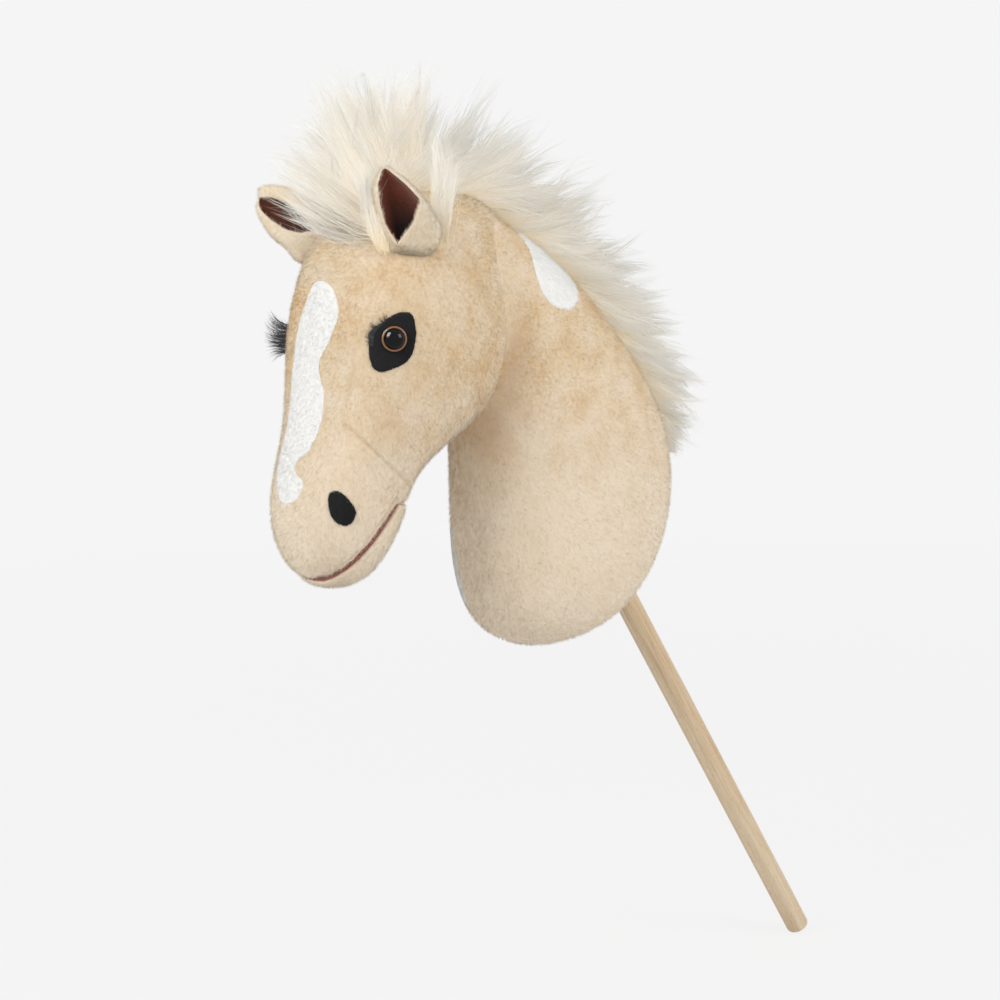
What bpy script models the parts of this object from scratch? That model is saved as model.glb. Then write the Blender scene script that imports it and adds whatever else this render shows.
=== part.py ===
"""Plush hobby horse: a stuffed horse's head and neck that pull off a short wooden stick.

The horse looks along -Y, its left side is +X and +Z is up. The origin is the middle of the stick's
foot. Lengths are in millimetres until a mesh is made. A place in the plane of symmetry is written
as (forward, up), and a place on the stick by its distance from the foot.
"""

import math
from collections import namedtuple

import bmesh
import bpy
from mathutils import Matrix, Vector

MM = 0.001

# The stick, a turned dowel
STICK_DIAMETER = 18.0
STICK_LENGTH = 600.0
STICK_LEAN = math.radians(32.6)
STICK_END_ROUND = 1.5
STICK_SIDES = 28
SOCKET_SIDES = 24

# The plastic socket inside the neck, which the stick pushes into
SOCKET_PLAY = 0.3
SOCKET_WALL = 2.2
SOCKET_MOUTH_AT = 362.0
SOCKET_FLANGE_RADIUS = 14.5
SOCKET_FLANGE_THICK = 2.4
SOCKET_CAP_THICK = 4.0
SOCKET_CAP_SKIRT = 18.0

# Cloth, and the gaps that sewn pieces keep
PLUSH_THICK = 2.6
FELT_THICK = 1.1
LINING_THICK = 0.9
BACKING_THICK = 1.5
GAP = 0.3
SEAM = 0.5

# The mouth's slit runs from the jaw's fold at the throat to the corner, and on past the lip
JAW_FOLD = (389.0, 377.0)
MOUTH_CORNER = (413.0, 385.0)
MOUTH_FRONT = (500.0, 291.0)

# Eyes
EYE_AT = (428.8, 491.6)
EYE_LOOKS = Vector((0.90, -0.43, 0.04)).normalized()
EYE_DIAMETER = 14.6
EYE_HEIGHT = 5.6
EYE_RIM_DIAMETER = 16.4
EYE_SHANK_DIAMETER = 4.6
EYE_SHANK_LENGTH = 12.0
EYE_WASHER_DIAMETER = 12.0
EYE_STEPS = 18
LASH_COUNT = 6
LASH_LENGTH = 12.0
LASH_SWEEP = (0.0, 0.75, 0.1)

# Cross-sections of the stuffed forms, each with its front and back point and its half width.
# taper is how much the back narrows, and flat is how boxy the front is.
Section = namedtuple("Section", "front back half_width taper flat", defaults=(0.0, 2.0))
RING_POINTS = 12
RING_SWELL = 1 / (2 / 3 + math.cos(math.tau / RING_POINTS) / 3)

HEAD_SECTIONS = (
    Section((400, 586), (352, 590), 18),
    Section((422, 578), (322, 585), 42, 0.1, 2.2),
    Section((441, 558), (300, 564), 57, 0.2, 2.8),
    Section((452, 530), (288, 530), 65, 0.3, 3.2),
    Section((458, 497), (287, 485), 68, 0.35, 3.4),
    Section((461, 465), (306, 448), 66, 0.35, 3.2),
    Section((465, 435), (338, 420), 59, 0.3, 2.8),
    Section((474, 408), (373, 400), 52, 0.1, 2.5),
    Section((481, 382), (388, 378), 50, 0.0, 2.5),
    Section((479, 355), (399, 356), 46, 0.0, 2.4),
    Section((468, 333), (413, 335), 34, 0.0, 2.2),
    Section((452, 325), (430, 326), 15),
)

NECK_SECTIONS = (
    Section((286, 266), (254, 267), 16),
    Section((315, 277), (211, 278), 42),
    Section((331, 301), (178, 306), 58),
    Section((339, 336), (157, 343), 62),
    Section((340, 380), (150, 386), 62),
    Section((343, 424), (160, 430), 59),
    Section((354, 462), (186, 472), 55),
    Section((372, 494), (234, 523), 52),
    Section((390, 520), (284, 560), 48),
    Section((400, 545), (335, 583), 38),
    Section((402, 560), (366, 588), 18),
)

# The mane's standing mass: its outer edge, its root, and its half width
MANE_SECTIONS = (
    Section((444, 588), (428, 562), 8),
    Section((430, 606), (408, 562), 20),
    Section((402, 618), (385, 560), 27),
    Section((364, 625), (350, 556), 30),
    Section((322, 622), (312, 552), 30),
    Section((280, 604), (282, 538), 29),
    Section((240, 572), (252, 510), 27),
    Section((206, 532), (222, 480), 25),
    Section((179, 490), (200, 446), 22),
    Section((159, 454), (180, 424), 16),
    Section((152, 430), (168, 414), 6),
)

# Locks of the mane along the crest: the root and the tip of each as (forward, up)
MANE_LOCKS = (
    ((432, 574), (456, 634)),
    ((412, 580), (430, 656)),
    ((384, 584), (394, 667)),
    ((354, 585), (352, 668)),
    ((324, 580), (306, 662)),
    ((296, 568), (260, 648)),
    ((270, 548), (216, 620)),
    ((246, 522), (172, 576)),
    ((222, 492), (138, 526)),
    ((200, 460), (118, 482)),
    ((182, 432), (122, 446)),
)
# Rows of locks across the crest: how far out, how far along by, and how long against the middle row
MANE_ROWS = ((-16.0, 0.0, 0.86), (0.0, 0.5, 1.0), (16.0, 0.0, 0.86))
MANE_LOCK_RADII = (14.0, 15.5, 9.5, 1.0)
MANE_FLARE = 1.5

# The forelock's core, as a rounded mass, and its locks with root and tip as (left, forward, up)
FORELOCK_CENTRE = (8.0, 430.0, 576.0)
FORELOCK_HALF_SIZE = (34.0, 18.0, 15.0)
FORELOCK_LOCKS = (
    ((30, 436, 570), (-12, 474, 556)),
    ((20, 434, 578), (-24, 472, 580)),
    ((10, 430, 582), (-30, 462, 612)),
    ((-8, 434, 574), (-44, 462, 574)),
    ((24, 428, 584), (10, 456, 634)),
)
FORELOCK_LOCK_RADII = (11.0, 12.0, 7.5, 0.8)

# Sewn shapes as seen from the side, (forward, up), and from the front, (left, up)
EYE_PATCH = ((416, 509), (413, 492), (420, 475), (435, 471), (442, 482), (441, 496), (429, 506))
NOSTRIL = ((463, 394), (466, 386), (461, 375), (454, 372), (449, 379), (453, 388))
NECK_SPOT = ((303, 556), (309, 524), (292, 506), (268, 512), (261, 527), (278, 547))
CHEST_PATCH = ((350, 372), (350, 300), (300, 262), (286, 282), (312, 318), (330, 360))
BLAZE = (
    (0, 528),
    (27, 512),
    (23, 490),
    (15, 476),
    (22, 452),
    (16, 420),
    (5, 408),
    (17, 396),
    (2, 383),
    (-19, 399),
    (-20, 438),
    (-20, 480),
    (-10, 515),
)
FACE_STRIP = (
    (48, 600),
    (51, 545),
    (49, 518),
    (44, 490),
    (43, 465),
    (40, 445),
    (40, 380),
    (-40, 380),
    (-40, 445),
    (-43, 465),
    (-44, 490),
    (-49, 518),
    (-51, 545),
    (-48, 600),
)
MUZZLE = ((520, 437), (455, 437), (443, 425), (431, 414), (414, 401), (360, 370), (360, 280), (520, 280))

# Ears: the middle of the base, the way to the tip, the way that the open side looks, and the length
Ear = namedtuple("Ear", "base up opens length half_width cup")
EAR_LEFT = Ear((57, 410, 544), (0.18, 0.47, 0.86), (0.80, 0.60, 0.0), 64, 16, 8)
EAR_RIGHT = Ear((-55, 411, 542), (-0.50, 0.58, 0.64), (0.10, 0.80, -0.60), 64, 16, 8)

# Tab in the neck's back seam: how far it stands out, its height, and where
TAB_SIZE = (1.0, 16.0, 9.0)
TAB_AT = (148.0, 407.0)

# The strip that the mane is sewn to: its half width and the region of the crest from the side
MANE_BACKING_HALF_WIDTH = 15.0
MANE_CREST = ((440, 575), (470, 640), (300, 700), (90, 560), (90, 414), (180, 414), (240, 480), (310, 530))

# Colours as they look, with roughness
PLUSH = ("plush", "E8D2B0", 0.95)
WHITE_PLUSH = ("white_plush", "F4F1E9", 0.95)
LONG_HAIR = ("long_hair", "F3EAD6", 0.8)
VELOUR = ("ear_velour", "5A2F20", 0.9)
FELT = ("black_felt", "1B1A1B", 0.95)
EYE_BLACK = ("eye_black", "0A0808", 0.06)
EYE_AMBER = ("eye_amber", "9A5B22", 0.2)
LINING = ("mouth_lining", "A8665E", 0.9)
WADDING = ("wadding", "F2F0EA", 1.0)
KNIT = ("knit_backing", "EDE2CC", 0.95)
LASH = ("lash_fibre", "111011", 0.5)
TAPE = ("woven_tape", "F5F5F2", 0.8)
WOOD = ("pale_wood", "D2B68C", 0.55)
PLASTIC = ("socket_plastic", "D9D6CE", 0.4)


def at(place, left=0.0):
    """The point at (forward, up), left millimetres from the plane of symmetry."""
    return Vector((left, -place[0], place[1])) * MM


def spot(left, forward, up):
    return Vector((left, -forward, up)) * MM


def link(made, collection_name):
    for holder in list(made.users_collection):
        holder.objects.unlink(made)
    bpy.data.collections[collection_name].objects.link(made)
    return made


def object_of(name, bm):
    mesh = bpy.data.meshes.new(name)
    bm.to_mesh(mesh)
    bm.free()
    made = bpy.data.objects.new(name, mesh)
    bpy.context.scene.collection.objects.link(made)
    return made


def remove(*objects):
    for made in objects:
        bpy.data.objects.remove(made)


def settle(made):
    """Applies the object's modifiers to its mesh, and makes a curve a welded mesh."""
    bpy.context.view_layer.update()
    graph = bpy.context.evaluated_depsgraph_get()
    mesh = bpy.data.meshes.new_from_object(made.evaluated_get(graph))
    if made.type == "MESH":
        made.modifiers.clear()
        made.data = mesh
        return made
    bm = bmesh.new()
    bm.from_mesh(mesh)
    bmesh.ops.remove_doubles(bm, verts=bm.verts, dist=0.00001)
    bm.to_mesh(mesh)
    bm.free()
    solid = bpy.data.objects.new(made.name, mesh)
    solid.matrix_world = made.matrix_world
    bpy.context.scene.collection.objects.link(solid)
    remove(made)
    return solid


def combine(body, tool, operation, keep_tool=False):
    """The body cut by, joined with or limited to the tool."""
    step = body.modifiers.new(operation.lower(), "BOOLEAN")
    step.operation = operation
    step.solver = "EXACT"
    step.use_self = operation == "UNION"
    step.object = tool
    settle(body)
    if not keep_tool:
        remove(tool)
    return body


def cut(body, *tools):
    for tool in tools:
        combine(body, tool, "DIFFERENCE")
    return body


def within(body, *tools):
    for tool in tools:
        combine(body, tool, "INTERSECT")
    return body


def join(body, *tools):
    for tool in tools:
        combine(body, tool, "UNION")
    return body


def finish(made, name, look):
    """Names the piece, puts it with the horse's parts, and gives it its material."""
    made.name = name
    made.data.name = name
    link(made, "hobby_horse")
    made.data.materials.clear()
    made.data.materials.append(material(*look))
    made.data.shade_smooth()
    made.data.set_sharp_from_angle(angle=math.radians(35))
    return made


def material(name, colour, roughness):
    found = bpy.data.materials.get(name)
    if found:
        return found
    made = bpy.data.materials.new(name)
    made.use_nodes = True
    shader = made.node_tree.nodes["Principled BSDF"]
    channels = [int(colour[i : i + 2], 16) / 255 for i in (0, 2, 4)]
    linear = [c / 12.92 if c <= 0.04045 else ((c + 0.055) / 1.055) ** 2.4 for c in channels]
    shader.inputs["Base Color"].default_value = (*linear, 1)
    shader.inputs["Roughness"].default_value = roughness
    shader.inputs["Metallic"].default_value = 0.0
    made.diffuse_color = (*linear, 1)
    return made


def section_ring(bm, section):
    """One rounded ring of points between the section's front and back."""
    front, back = at(section.front), at(section.back)
    centre, reach = (front + back) / 2, (front - back) / 2 * RING_SWELL
    wide = section.half_width * MM * RING_SWELL
    ring = bmesh.ops.create_circle(bm, cap_ends=False, segments=RING_POINTS, radius=1.0)["verts"]
    for vert in ring:
        across, ahead = vert.co.x, vert.co.y
        if ahead > 0:
            across = math.copysign(abs(across) ** (2 / section.flat), across)
            ahead = ahead ** (2 / section.flat)
        vert.co = centre + reach * ahead
        vert.co.x = wide * across * (1 + section.taper * min(ahead, 0))
    return ring


def ring_edges(ring):
    members = set(ring)
    edges = {edge for vert in ring for edge in vert.link_edges}
    return [edge for edge in edges if edge.other_vert(edge.verts[0]) in members]


def loft(name, sections):
    """A closed cage through the sections, one ring for each."""
    bm = bmesh.new()
    rings = [section_ring(bm, section) for section in sections]
    loops = [ring_edges(ring) for ring in rings]
    for below, above in zip(loops, loops[1:]):
        bmesh.ops.bridge_loops(bm, edges=below + above)
    bmesh.ops.holes_fill(bm, edges=bm.edges, sides=RING_POINTS)
    bmesh.ops.recalc_face_normals(bm, faces=bm.faces)
    return object_of(name, bm)


def stuffed_form(name, sections, grow):
    """The smooth stuffed shape of the sections, with its surface moved out by grow millimetres."""
    form = loft(name, sections)
    smooth = form.modifiers.new("smooth", "SUBSURF")
    smooth.levels = smooth.render_levels = 1
    swell = form.modifiers.new("swell", "DISPLACE")
    swell.mid_level = 0.0
    swell.strength = grow * MM
    return settle(form)


def head_form(grow=0.0):
    return stuffed_form("head_form", HEAD_SECTIONS, grow)


def neck_form(grow=0.0):
    return stuffed_form("neck_form", NECK_SECTIONS, grow)


def flat_curve(name, points, low, high, smooth):
    """The closed outline as a filled 2D curve, extruded from low to high along its own Z."""
    curve = bpy.data.curves.new(name, "CURVE")
    curve.dimensions = "2D"
    curve.fill_mode = "BOTH"
    curve.extrude = (high - low) / 2 * MM
    curve.resolution_u = 3 if smooth else 1
    spline = curve.splines.new("BEZIER")
    spline.bezier_points.add(len(points) - 1)
    for knot, point in zip(spline.bezier_points, points):
        knot.co = (point[0] * MM, point[1] * MM, 0)
        knot.handle_left_type = knot.handle_right_type = "AUTO" if smooth else "VECTOR"
    spline.use_cyclic_u = True
    made = bpy.data.objects.new(name, curve)
    bpy.context.scene.collection.objects.link(made)
    return made


def side_prism(outline, left_low, left_high, smooth=False):
    """The outline drawn as (forward, up), from left_low to left_high across the horse."""
    made = flat_curve("side_prism", outline, left_low, left_high, smooth)
    turn = Matrix(((0, 0, -1, 0), (-1, 0, 0, 0), (0, 1, 0, 0), (0, 0, 0, 1)))
    made.matrix_world = Matrix.Translation(((left_low + left_high) / 2 * MM, 0, 0)) @ turn
    return settle(made)


def front_prism(outline, forward_low, forward_high, smooth=False):
    """The outline drawn as (left, up), from forward_low to forward_high along the horse."""
    made = flat_curve("front_prism", outline, forward_low, forward_high, smooth)
    turn = Matrix(((1, 0, 0, 0), (0, 0, -1, 0), (0, 1, 0, 0), (0, 0, 0, 1)))
    made.matrix_world = Matrix.Translation((0, -(forward_low + forward_high) / 2 * MM, 0)) @ turn
    return settle(made)


def half_space(side, inset):
    """A block over the horse's left half for side 1, or its right half for side -1."""
    outline = ((700, -50), (700, 800), (-50, 800), (-50, -50))
    low, high = (inset, 200) if side > 0 else (-200, -inset)
    return side_prism(outline, low, high)


def turned(name, profile, steps):
    """A turned solid about Z from (radius, height) points that run down its outer side."""
    bm = bmesh.new()
    verts = [bm.verts.new((radius * MM, 0, height * MM)) for radius, height in profile]
    for one, other in zip(verts, verts[1:]):
        bm.edges.new((one, other))
    if profile[0][0] > 0:
        bm.edges.new((verts[-1], verts[0]))
    made = object_of(name, bm)
    screw = made.modifiers.new("turn", "SCREW")
    screw.steps = screw.render_steps = steps
    screw.use_merge_vertices = True
    screw.merge_threshold = 0.00001
    return settle(made)


def on_stick(made, distance=0.0):
    """Lays a piece that was made along Z on the stick's axis, at this distance from the foot."""
    turn = Matrix.Rotation(STICK_LEAN, 4, "X")
    made.matrix_world = turn @ Matrix.Translation((0, 0, distance * MM))
    return made


def looking(made, place, direction):
    """Places a piece that was made along Z so that its Z looks along the direction."""
    turn = direction.to_track_quat("Z", "Y").to_matrix().to_4x4()
    made.matrix_world = Matrix.Translation(place) @ turn
    return made


def mirrored(vector, side):
    return Vector((vector.x * side, vector.y, vector.z))


def mouth_outline(grow):
    """The lower jaw's region from the side. Its upper edge is the slit, moved up by grow."""
    along = (Vector(MOUTH_FRONT) - Vector(MOUTH_CORNER)).normalized()
    out = Vector((-along.y, along.x)) * grow
    fold = Vector(JAW_FOLD) + Vector((-0.3, 0.95)) * grow
    corner = Vector(MOUTH_CORNER) + out + Vector((-0.35, 0.4)) * grow
    front = Vector(MOUTH_FRONT) + out
    behind = Vector(JAW_FOLD) + (Vector(JAW_FOLD) - Vector(MOUTH_CORNER)) + Vector((-0.3, 0.95)) * grow
    return (tuple(corner), tuple(front), (500, 250), (340, 250), tuple(behind), tuple(fold))


def jaw_region(grow):
    return side_prism(mouth_outline(grow), -90, 90)


def face_region(grow):
    """The forehead strip, the poll and the muzzle, which one panel of plush covers."""
    strip = front_prism(FACE_STRIP, 402, 520)
    poll = front_prism(((48, 546), (48, 640), (-48, 640), (-48, 546)), 280, 520)
    muzzle = side_prism(MUZZLE, -90, 90)
    region = join(strip, poll, muzzle)
    if grow:
        swell = region.modifiers.new("swell", "DISPLACE")
        swell.mid_level = 0.0
        swell.strength = grow * MM
        settle(region)
    return region


def head_shell():
    """The head's plush before it is cut into panels: open at the neck and at the mouth."""
    shell = cut(head_form(), head_form(-PLUSH_THICK))
    cut(shell, neck_form(-PLUSH_THICK - 2.0))
    cut(shell, jaw_region(GAP + LINING_THICK))
    for side in (1, -1):
        cut(shell, eye_tool(side, EYE_SHANK_DIAMETER / 2 + GAP))
    return shell


def eye_place(side):
    """The point of the head's surface that the eye sits on."""
    skin = head_form()
    start = at(EYE_AT, 61.1 * side)
    point = skin.closest_point_on_mesh(start)[1]
    place = Vector(point)
    remove(skin)
    return place


def eye_tool(side, radius, low=-30.0, high=30.0):
    """A cylinder along the eye's axis, between two heights over the plush."""
    tool = turned("eye_tool", ((0, high), (radius, high), (radius, low), (0, low)), EYE_STEPS)
    return looking(tool, eye_place(side), mirrored(EYE_LOOKS, side))


def add_stick():
    half = STICK_DIAMETER / 2
    low, high = 0, STICK_LENGTH
    profile = (
        (0, high),
        (half - STICK_END_ROUND, high),
        (half - STICK_END_ROUND * 0.3, high - STICK_END_ROUND * 0.3),
        (half, high - STICK_END_ROUND),
        (half, low + STICK_END_ROUND),
        (half - STICK_END_ROUND * 0.3, low + STICK_END_ROUND * 0.3),
        (half - STICK_END_ROUND, low),
        (0, low),
    )
    finish(on_stick(turned("stick", profile, STICK_SIDES)), "stick", WOOD)


def tube_profile(grow):
    """The socket tube with its flange, and grow millimetres more all round for its bore."""
    inner = STICK_DIAMETER / 2 + SOCKET_PLAY
    outer = inner + SOCKET_WALL + grow
    low, high = SOCKET_MOUTH_AT, STICK_LENGTH
    flange = SOCKET_FLANGE_RADIUS + grow
    top = low + SOCKET_FLANGE_THICK + grow
    return inner, outer, low, high, flange, top


def add_socket():
    inner, outer, low, high, flange, top = tube_profile(0)
    tube = ((inner, high), (outer, high), (outer, top), (flange, top), (flange, low), (inner, low))
    finish(on_stick(turned("tube", tube, SOCKET_SIDES)), "socket_tube", PLASTIC)
    hug = outer + GAP
    cap_outer = hug + SOCKET_WALL
    floor = high + GAP
    cap_top = floor + SOCKET_CAP_THICK
    skirt = floor - SOCKET_CAP_SKIRT
    cap = (
        (0, cap_top),
        (cap_outer - 1.5, cap_top),
        (cap_outer, cap_top - 1.5),
        (cap_outer, skirt),
        (hug, skirt),
        (hug, floor),
        (0, floor),
    )
    finish(on_stick(turned("cap", cap, SOCKET_SIDES)), "socket_cap", PLASTIC)


def socket_bore():
    """The room that the tube, its flange and its cap take in the wadding."""
    _, outer, low, high, flange, top = tube_profile(GAP)
    cap_outer = outer + GAP + SOCKET_WALL + GAP
    cap_top = high + SOCKET_CAP_THICK + 3 * GAP
    skirt = high - SOCKET_CAP_SKIRT - GAP
    room = (
        (0, cap_top),
        (cap_outer, cap_top),
        (cap_outer, skirt),
        (outer, skirt),
        (outer, top),
        (flange, top),
        (flange, low - 40),
        (0, low - 40),
    )
    return on_stick(turned("bore", room, SOCKET_SIDES))


def add_neck():
    inner = -PLUSH_THICK
    hole_radius = STICK_DIAMETER / 2 + SOCKET_PLAY
    for side, name in ((1, "neck_panel_left"), (-1, "neck_panel_right")):
        panel = cut(neck_form(), neck_form(inner), head_form(GAP))
        hole = turned("hole", ((0, 420), (hole_radius, 420), (hole_radius, 250), (0, 250)), SOCKET_SIDES)
        cut(panel, on_stick(hole))
        within(panel, half_space(side, SEAM / 2))
        finish(panel, name, PLUSH)
    wadding = cut(neck_form(inner - GAP), head_form(GAP), socket_bore())
    finish(wadding, "neck_stuffing", WADDING)


def add_head():
    for side, name in ((1, "cheek_panel_left"), (-1, "cheek_panel_right")):
        cheek = cut(head_shell(), face_region(0))
        within(cheek, half_space(side, SEAM / 2))
        finish(cheek, name, PLUSH)
    face = within(head_shell(), face_region(-SEAM))
    finish(face, "face_panel", PLUSH)
    wadding = cut(head_form(-PLUSH_THICK - GAP), socket_bore(), jaw_region(GAP + LINING_THICK))
    for side in (1, -1):
        cut(wadding, eye_tool(side, EYE_WASHER_DIAMETER / 2 + 1, -18.0, 20.0))
    finish(wadding, "head_stuffing", WADDING)
    lining = within(head_form(), jaw_region(GAP / 2 + LINING_THICK))
    cut(lining, jaw_region(GAP / 2))
    finish(lining, "mouth_lining_upper", LINING)


def add_jaw():
    skin = cut(head_form(), head_form(-PLUSH_THICK))
    within(skin, jaw_region(-GAP / 2 - LINING_THICK - GAP))
    finish(skin, "lower_jaw", PLUSH)
    wadding = within(head_form(-PLUSH_THICK - GAP), jaw_region(-GAP / 2 - LINING_THICK - GAP))
    finish(wadding, "jaw_stuffing", WADDING)
    lining = cut(within(head_form(), jaw_region(-GAP / 2)), jaw_region(-GAP / 2 - LINING_THICK))
    finish(lining, "mouth_lining_lower", LINING)


def add_sewn(name, form, region, look, thick, *cutters):
    """A piece of cloth that lies on the form inside the region."""
    piece = cut(form(GAP + thick), form(GAP))
    within(piece, region)
    cut(piece, *cutters)
    finish(piece, name, look)


def add_sewn_pieces():
    add_sewn("blaze", head_form, front_prism(BLAZE, 430, 520, True), WHITE_PLUSH, 1.4)
    for side, word in ((1, "left"), (-1, "right")):
        low, high = (30, 90) if side > 0 else (-90, -30)
        rim = eye_tool(side, EYE_RIM_DIAMETER / 2 + GAP)
        patch = side_prism(EYE_PATCH, low, high, True)
        add_sewn(f"eye_patch_{word}", head_form, patch, FELT, FELT_THICK, rim)
        nostril = side_prism(NOSTRIL, low, high, True)
        add_sewn(f"nostril_{word}", head_form, nostril, FELT, FELT_THICK)
    petal = side_prism(NECK_SPOT, 18, 90, True)
    add_sewn("neck_spot", neck_form, petal, WHITE_PLUSH, 1.2, head_form(2.0))
    chest = side_prism(CHEST_PATCH, -90, -2, True)
    add_sewn("chest_patch", neck_form, chest, WHITE_PLUSH, 1.2, head_form(2.0))


def add_eyes():
    for side, word in ((1, "left"), (-1, "right")):
        place = eye_place(side)
        direction = mirrored(EYE_LOOKS, side)
        half, shank = EYE_DIAMETER / 2, EYE_SHANK_DIAMETER / 2
        dome = [
            (half * math.sin(math.radians(a)), EYE_HEIGHT * math.cos(math.radians(a)) + GAP)
            for a in (0, 20, 40, 60, 76)
        ]
        dome += [(half, GAP), (shank, GAP), (shank, -EYE_SHANK_LENGTH), (0, -EYE_SHANK_LENGTH)]
        eye = looking(turned("eye", dome, EYE_STEPS), place, direction)
        finish(eye, f"eye_{word}", EYE_BLACK)
        rim_half = EYE_RIM_DIAMETER / 2
        near = half + 0.15
        rim = ((near, 1.9), (rim_half - 0.4, 1.9), (rim_half, 1.3), (rim_half, GAP), (near, GAP))
        ring = looking(turned("rim", rim, EYE_STEPS), place, direction)
        finish(ring, f"eye_rim_{word}", EYE_AMBER)
        low, high = -PLUSH_THICK - 2.6, -PLUSH_THICK - 1.2
        wide = EYE_WASHER_DIAMETER / 2
        washer = ((shank + 0.2, high), (wide, high), (wide, low), (shank + 0.2, low))
        disc = looking(turned("washer", washer, EYE_STEPS), place, direction)
        finish(disc, f"eye_washer_{word}", PLASTIC)


def tapered_hairs(name, hairs, sides):
    """Tapered curved strands, each from its points and its radii, as one mesh of closed solids."""
    curve = bpy.data.curves.new(name, "CURVE")
    curve.dimensions = "3D"
    curve.bevel_depth = MM
    curve.bevel_resolution = sides
    curve.use_fill_caps = True
    for points, radii in hairs:
        spline = curve.splines.new("POLY")
        spline.points.add(len(points) - 1)
        for knot, point, radius in zip(spline.points, points, radii):
            knot.co = (*point, 1)
            knot.radius = radius
    made = bpy.data.objects.new(name, curve)
    bpy.context.scene.collection.objects.link(made)
    return settle(made)


def arc(start, middle, end, count):
    """Points on the parabola that leaves start towards middle and reaches end."""
    points = []
    for step in range(count):
        t = step / (count - 1)
        points.append(start * (1 - t) ** 2 + middle * 2 * t * (1 - t) + end * t * t)
    return points


def add_lashes():
    """A root cord along the patch's upper front edge, with lashes that curl up from it."""
    for side, word in ((1, "left"), (-1, "right")):
        skin = head_form()
        path = [spot(55.0, 441, 477), spot(55.0, 441.6, 488), spot(55.5, 440, 498), spot(60, 428, 506)]
        knots = []
        for step in range(LASH_COUNT + 2):
            t = step / (LASH_COUNT + 1) * (len(path) - 1)
            index = min(int(t), len(path) - 2)
            rough = path[index].lerp(path[index + 1], t - index)
            _, place, normal, _ = skin.closest_point_on_mesh(mirrored(rough, side))
            knots.append((place + normal * 2.3 * MM, Vector(normal)))
        remove(skin)
        hairs = [([place for place, _ in knots], [0.55] * len(knots))]
        for place, normal in knots[1:-1]:
            sweep = Vector((LASH_SWEEP[0], -LASH_SWEEP[1], LASH_SWEEP[2]))
            middle = place + (normal * 0.45 + sweep * 0.2) * LASH_LENGTH * MM
            tip = place + (normal * 0.6 + sweep) * LASH_LENGTH * MM
            hairs.append((arc(place, middle, tip, 3), (0.5, 0.4, 0.12)))
        lashes = tapered_hairs("lashes", hairs[:1], 0)
        for hair in hairs[1:]:
            join(lashes, tapered_hairs("lash", [hair], 0))
        finish(lashes, f"lashes_{word}", LASH)


def ear_sheet(name, ear, inset, lift, thick):
    """A cupped leaf between its base and its tip. lift moves it towards the ear's open side."""
    bm = bmesh.new()
    bmesh.ops.create_grid(bm, x_segments=6, y_segments=8, size=1.0)
    up = Vector((ear.up[0], -ear.up[1], ear.up[2])).normalized()
    opens = Vector((ear.opens[0], -ear.opens[1], ear.opens[2]))
    opens = (opens - up * opens.dot(up)).normalized()
    across = up.cross(opens)
    base = spot(*ear.base)
    for vert in bm.verts:
        u, v = vert.co.x, (vert.co.y + 1) / 2
        leaf = math.sin(math.pi * min(1.0, 0.22 + 0.78 * v) ** 1.25) ** 0.62 if v < 1 else 0.0
        half = max(ear.half_width * leaf - inset, 1.2)
        rise = (ear.length - inset * 1.6) * v
        hollow = ear.cup * (1 - u * u) * (1 - 0.75 * v)
        vert.co = base + (up * rise + across * half * u - opens * (hollow - lift)) * MM
    made = object_of(name, bm)
    smooth = made.modifiers.new("smooth", "SUBSURF")
    smooth.levels = smooth.render_levels = 0
    wall = made.modifiers.new("cloth", "SOLIDIFY")
    wall.thickness = thick * MM
    wall.offset = 0.0
    made = settle(made)
    bm = bmesh.new()
    bm.from_mesh(made.data)
    bmesh.ops.recalc_face_normals(bm, faces=bm.faces)
    bm.to_mesh(made.data)
    bm.free()
    return made


def add_ears():
    for ear, word in ((EAR_LEFT, "left"), (EAR_RIGHT, "right")):
        back = cut(ear_sheet("ear", ear, 0.0, 0.0, PLUSH_THICK), head_form(GAP))
        finish(back, f"ear_{word}", PLUSH)
        lift = PLUSH_THICK / 2 + GAP + LINING_THICK / 2 + 0.2
        lining = cut(ear_sheet("lining", ear, 2.6, lift, LINING_THICK), head_form(GAP))
        finish(lining, f"ear_lining_{word}", VELOUR)


def body_form(grow):
    return join(head_form(grow), neck_form(grow))


def grown_copy(name, grow):
    """A copy of a finished piece with its surface moved out, to cut its room from a neighbour."""
    made = bpy.data.objects[name].copy()
    made.data = made.data.copy()
    bpy.context.scene.collection.objects.link(made)
    swell = made.modifiers.new("swell", "DISPLACE")
    swell.mid_level = 0.0
    swell.strength = grow * MM
    return settle(made)


def lock(root, tip, bulge, radii):
    """One tapered lock of hair that leaves its root upwards and bends over to its tip."""
    middle = root.lerp(tip, 0.5) + bulge
    return tapered_hairs("lock", [(arc(root, middle, tip, len(radii)), radii)], 1)


def mane_mass(grow):
    """The mane's core and all its locks as one solid, grow millimetres larger all round."""
    mass = stuffed_form("mane", MANE_SECTIONS, grow)
    radii = [radius + grow for radius in MANE_LOCK_RADII]
    for left, along, length in MANE_ROWS:
        for index in range(len(MANE_LOCKS) - math.ceil(along)):
            here = MANE_LOCKS[index]
            there = MANE_LOCKS[min(index + 1, len(MANE_LOCKS) - 1)]
            root, tip = (at(here[end]).lerp(at(there[end]), along) for end in (0, 1))
            tip = root.lerp(tip, length * (1.0 if index % 2 else 0.93))
            root.x, tip.x = left * MM, left * MANE_FLARE * MM
            join(mass, lock(root, tip, spot(0, 4, 8), radii))
    return mass


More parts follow.
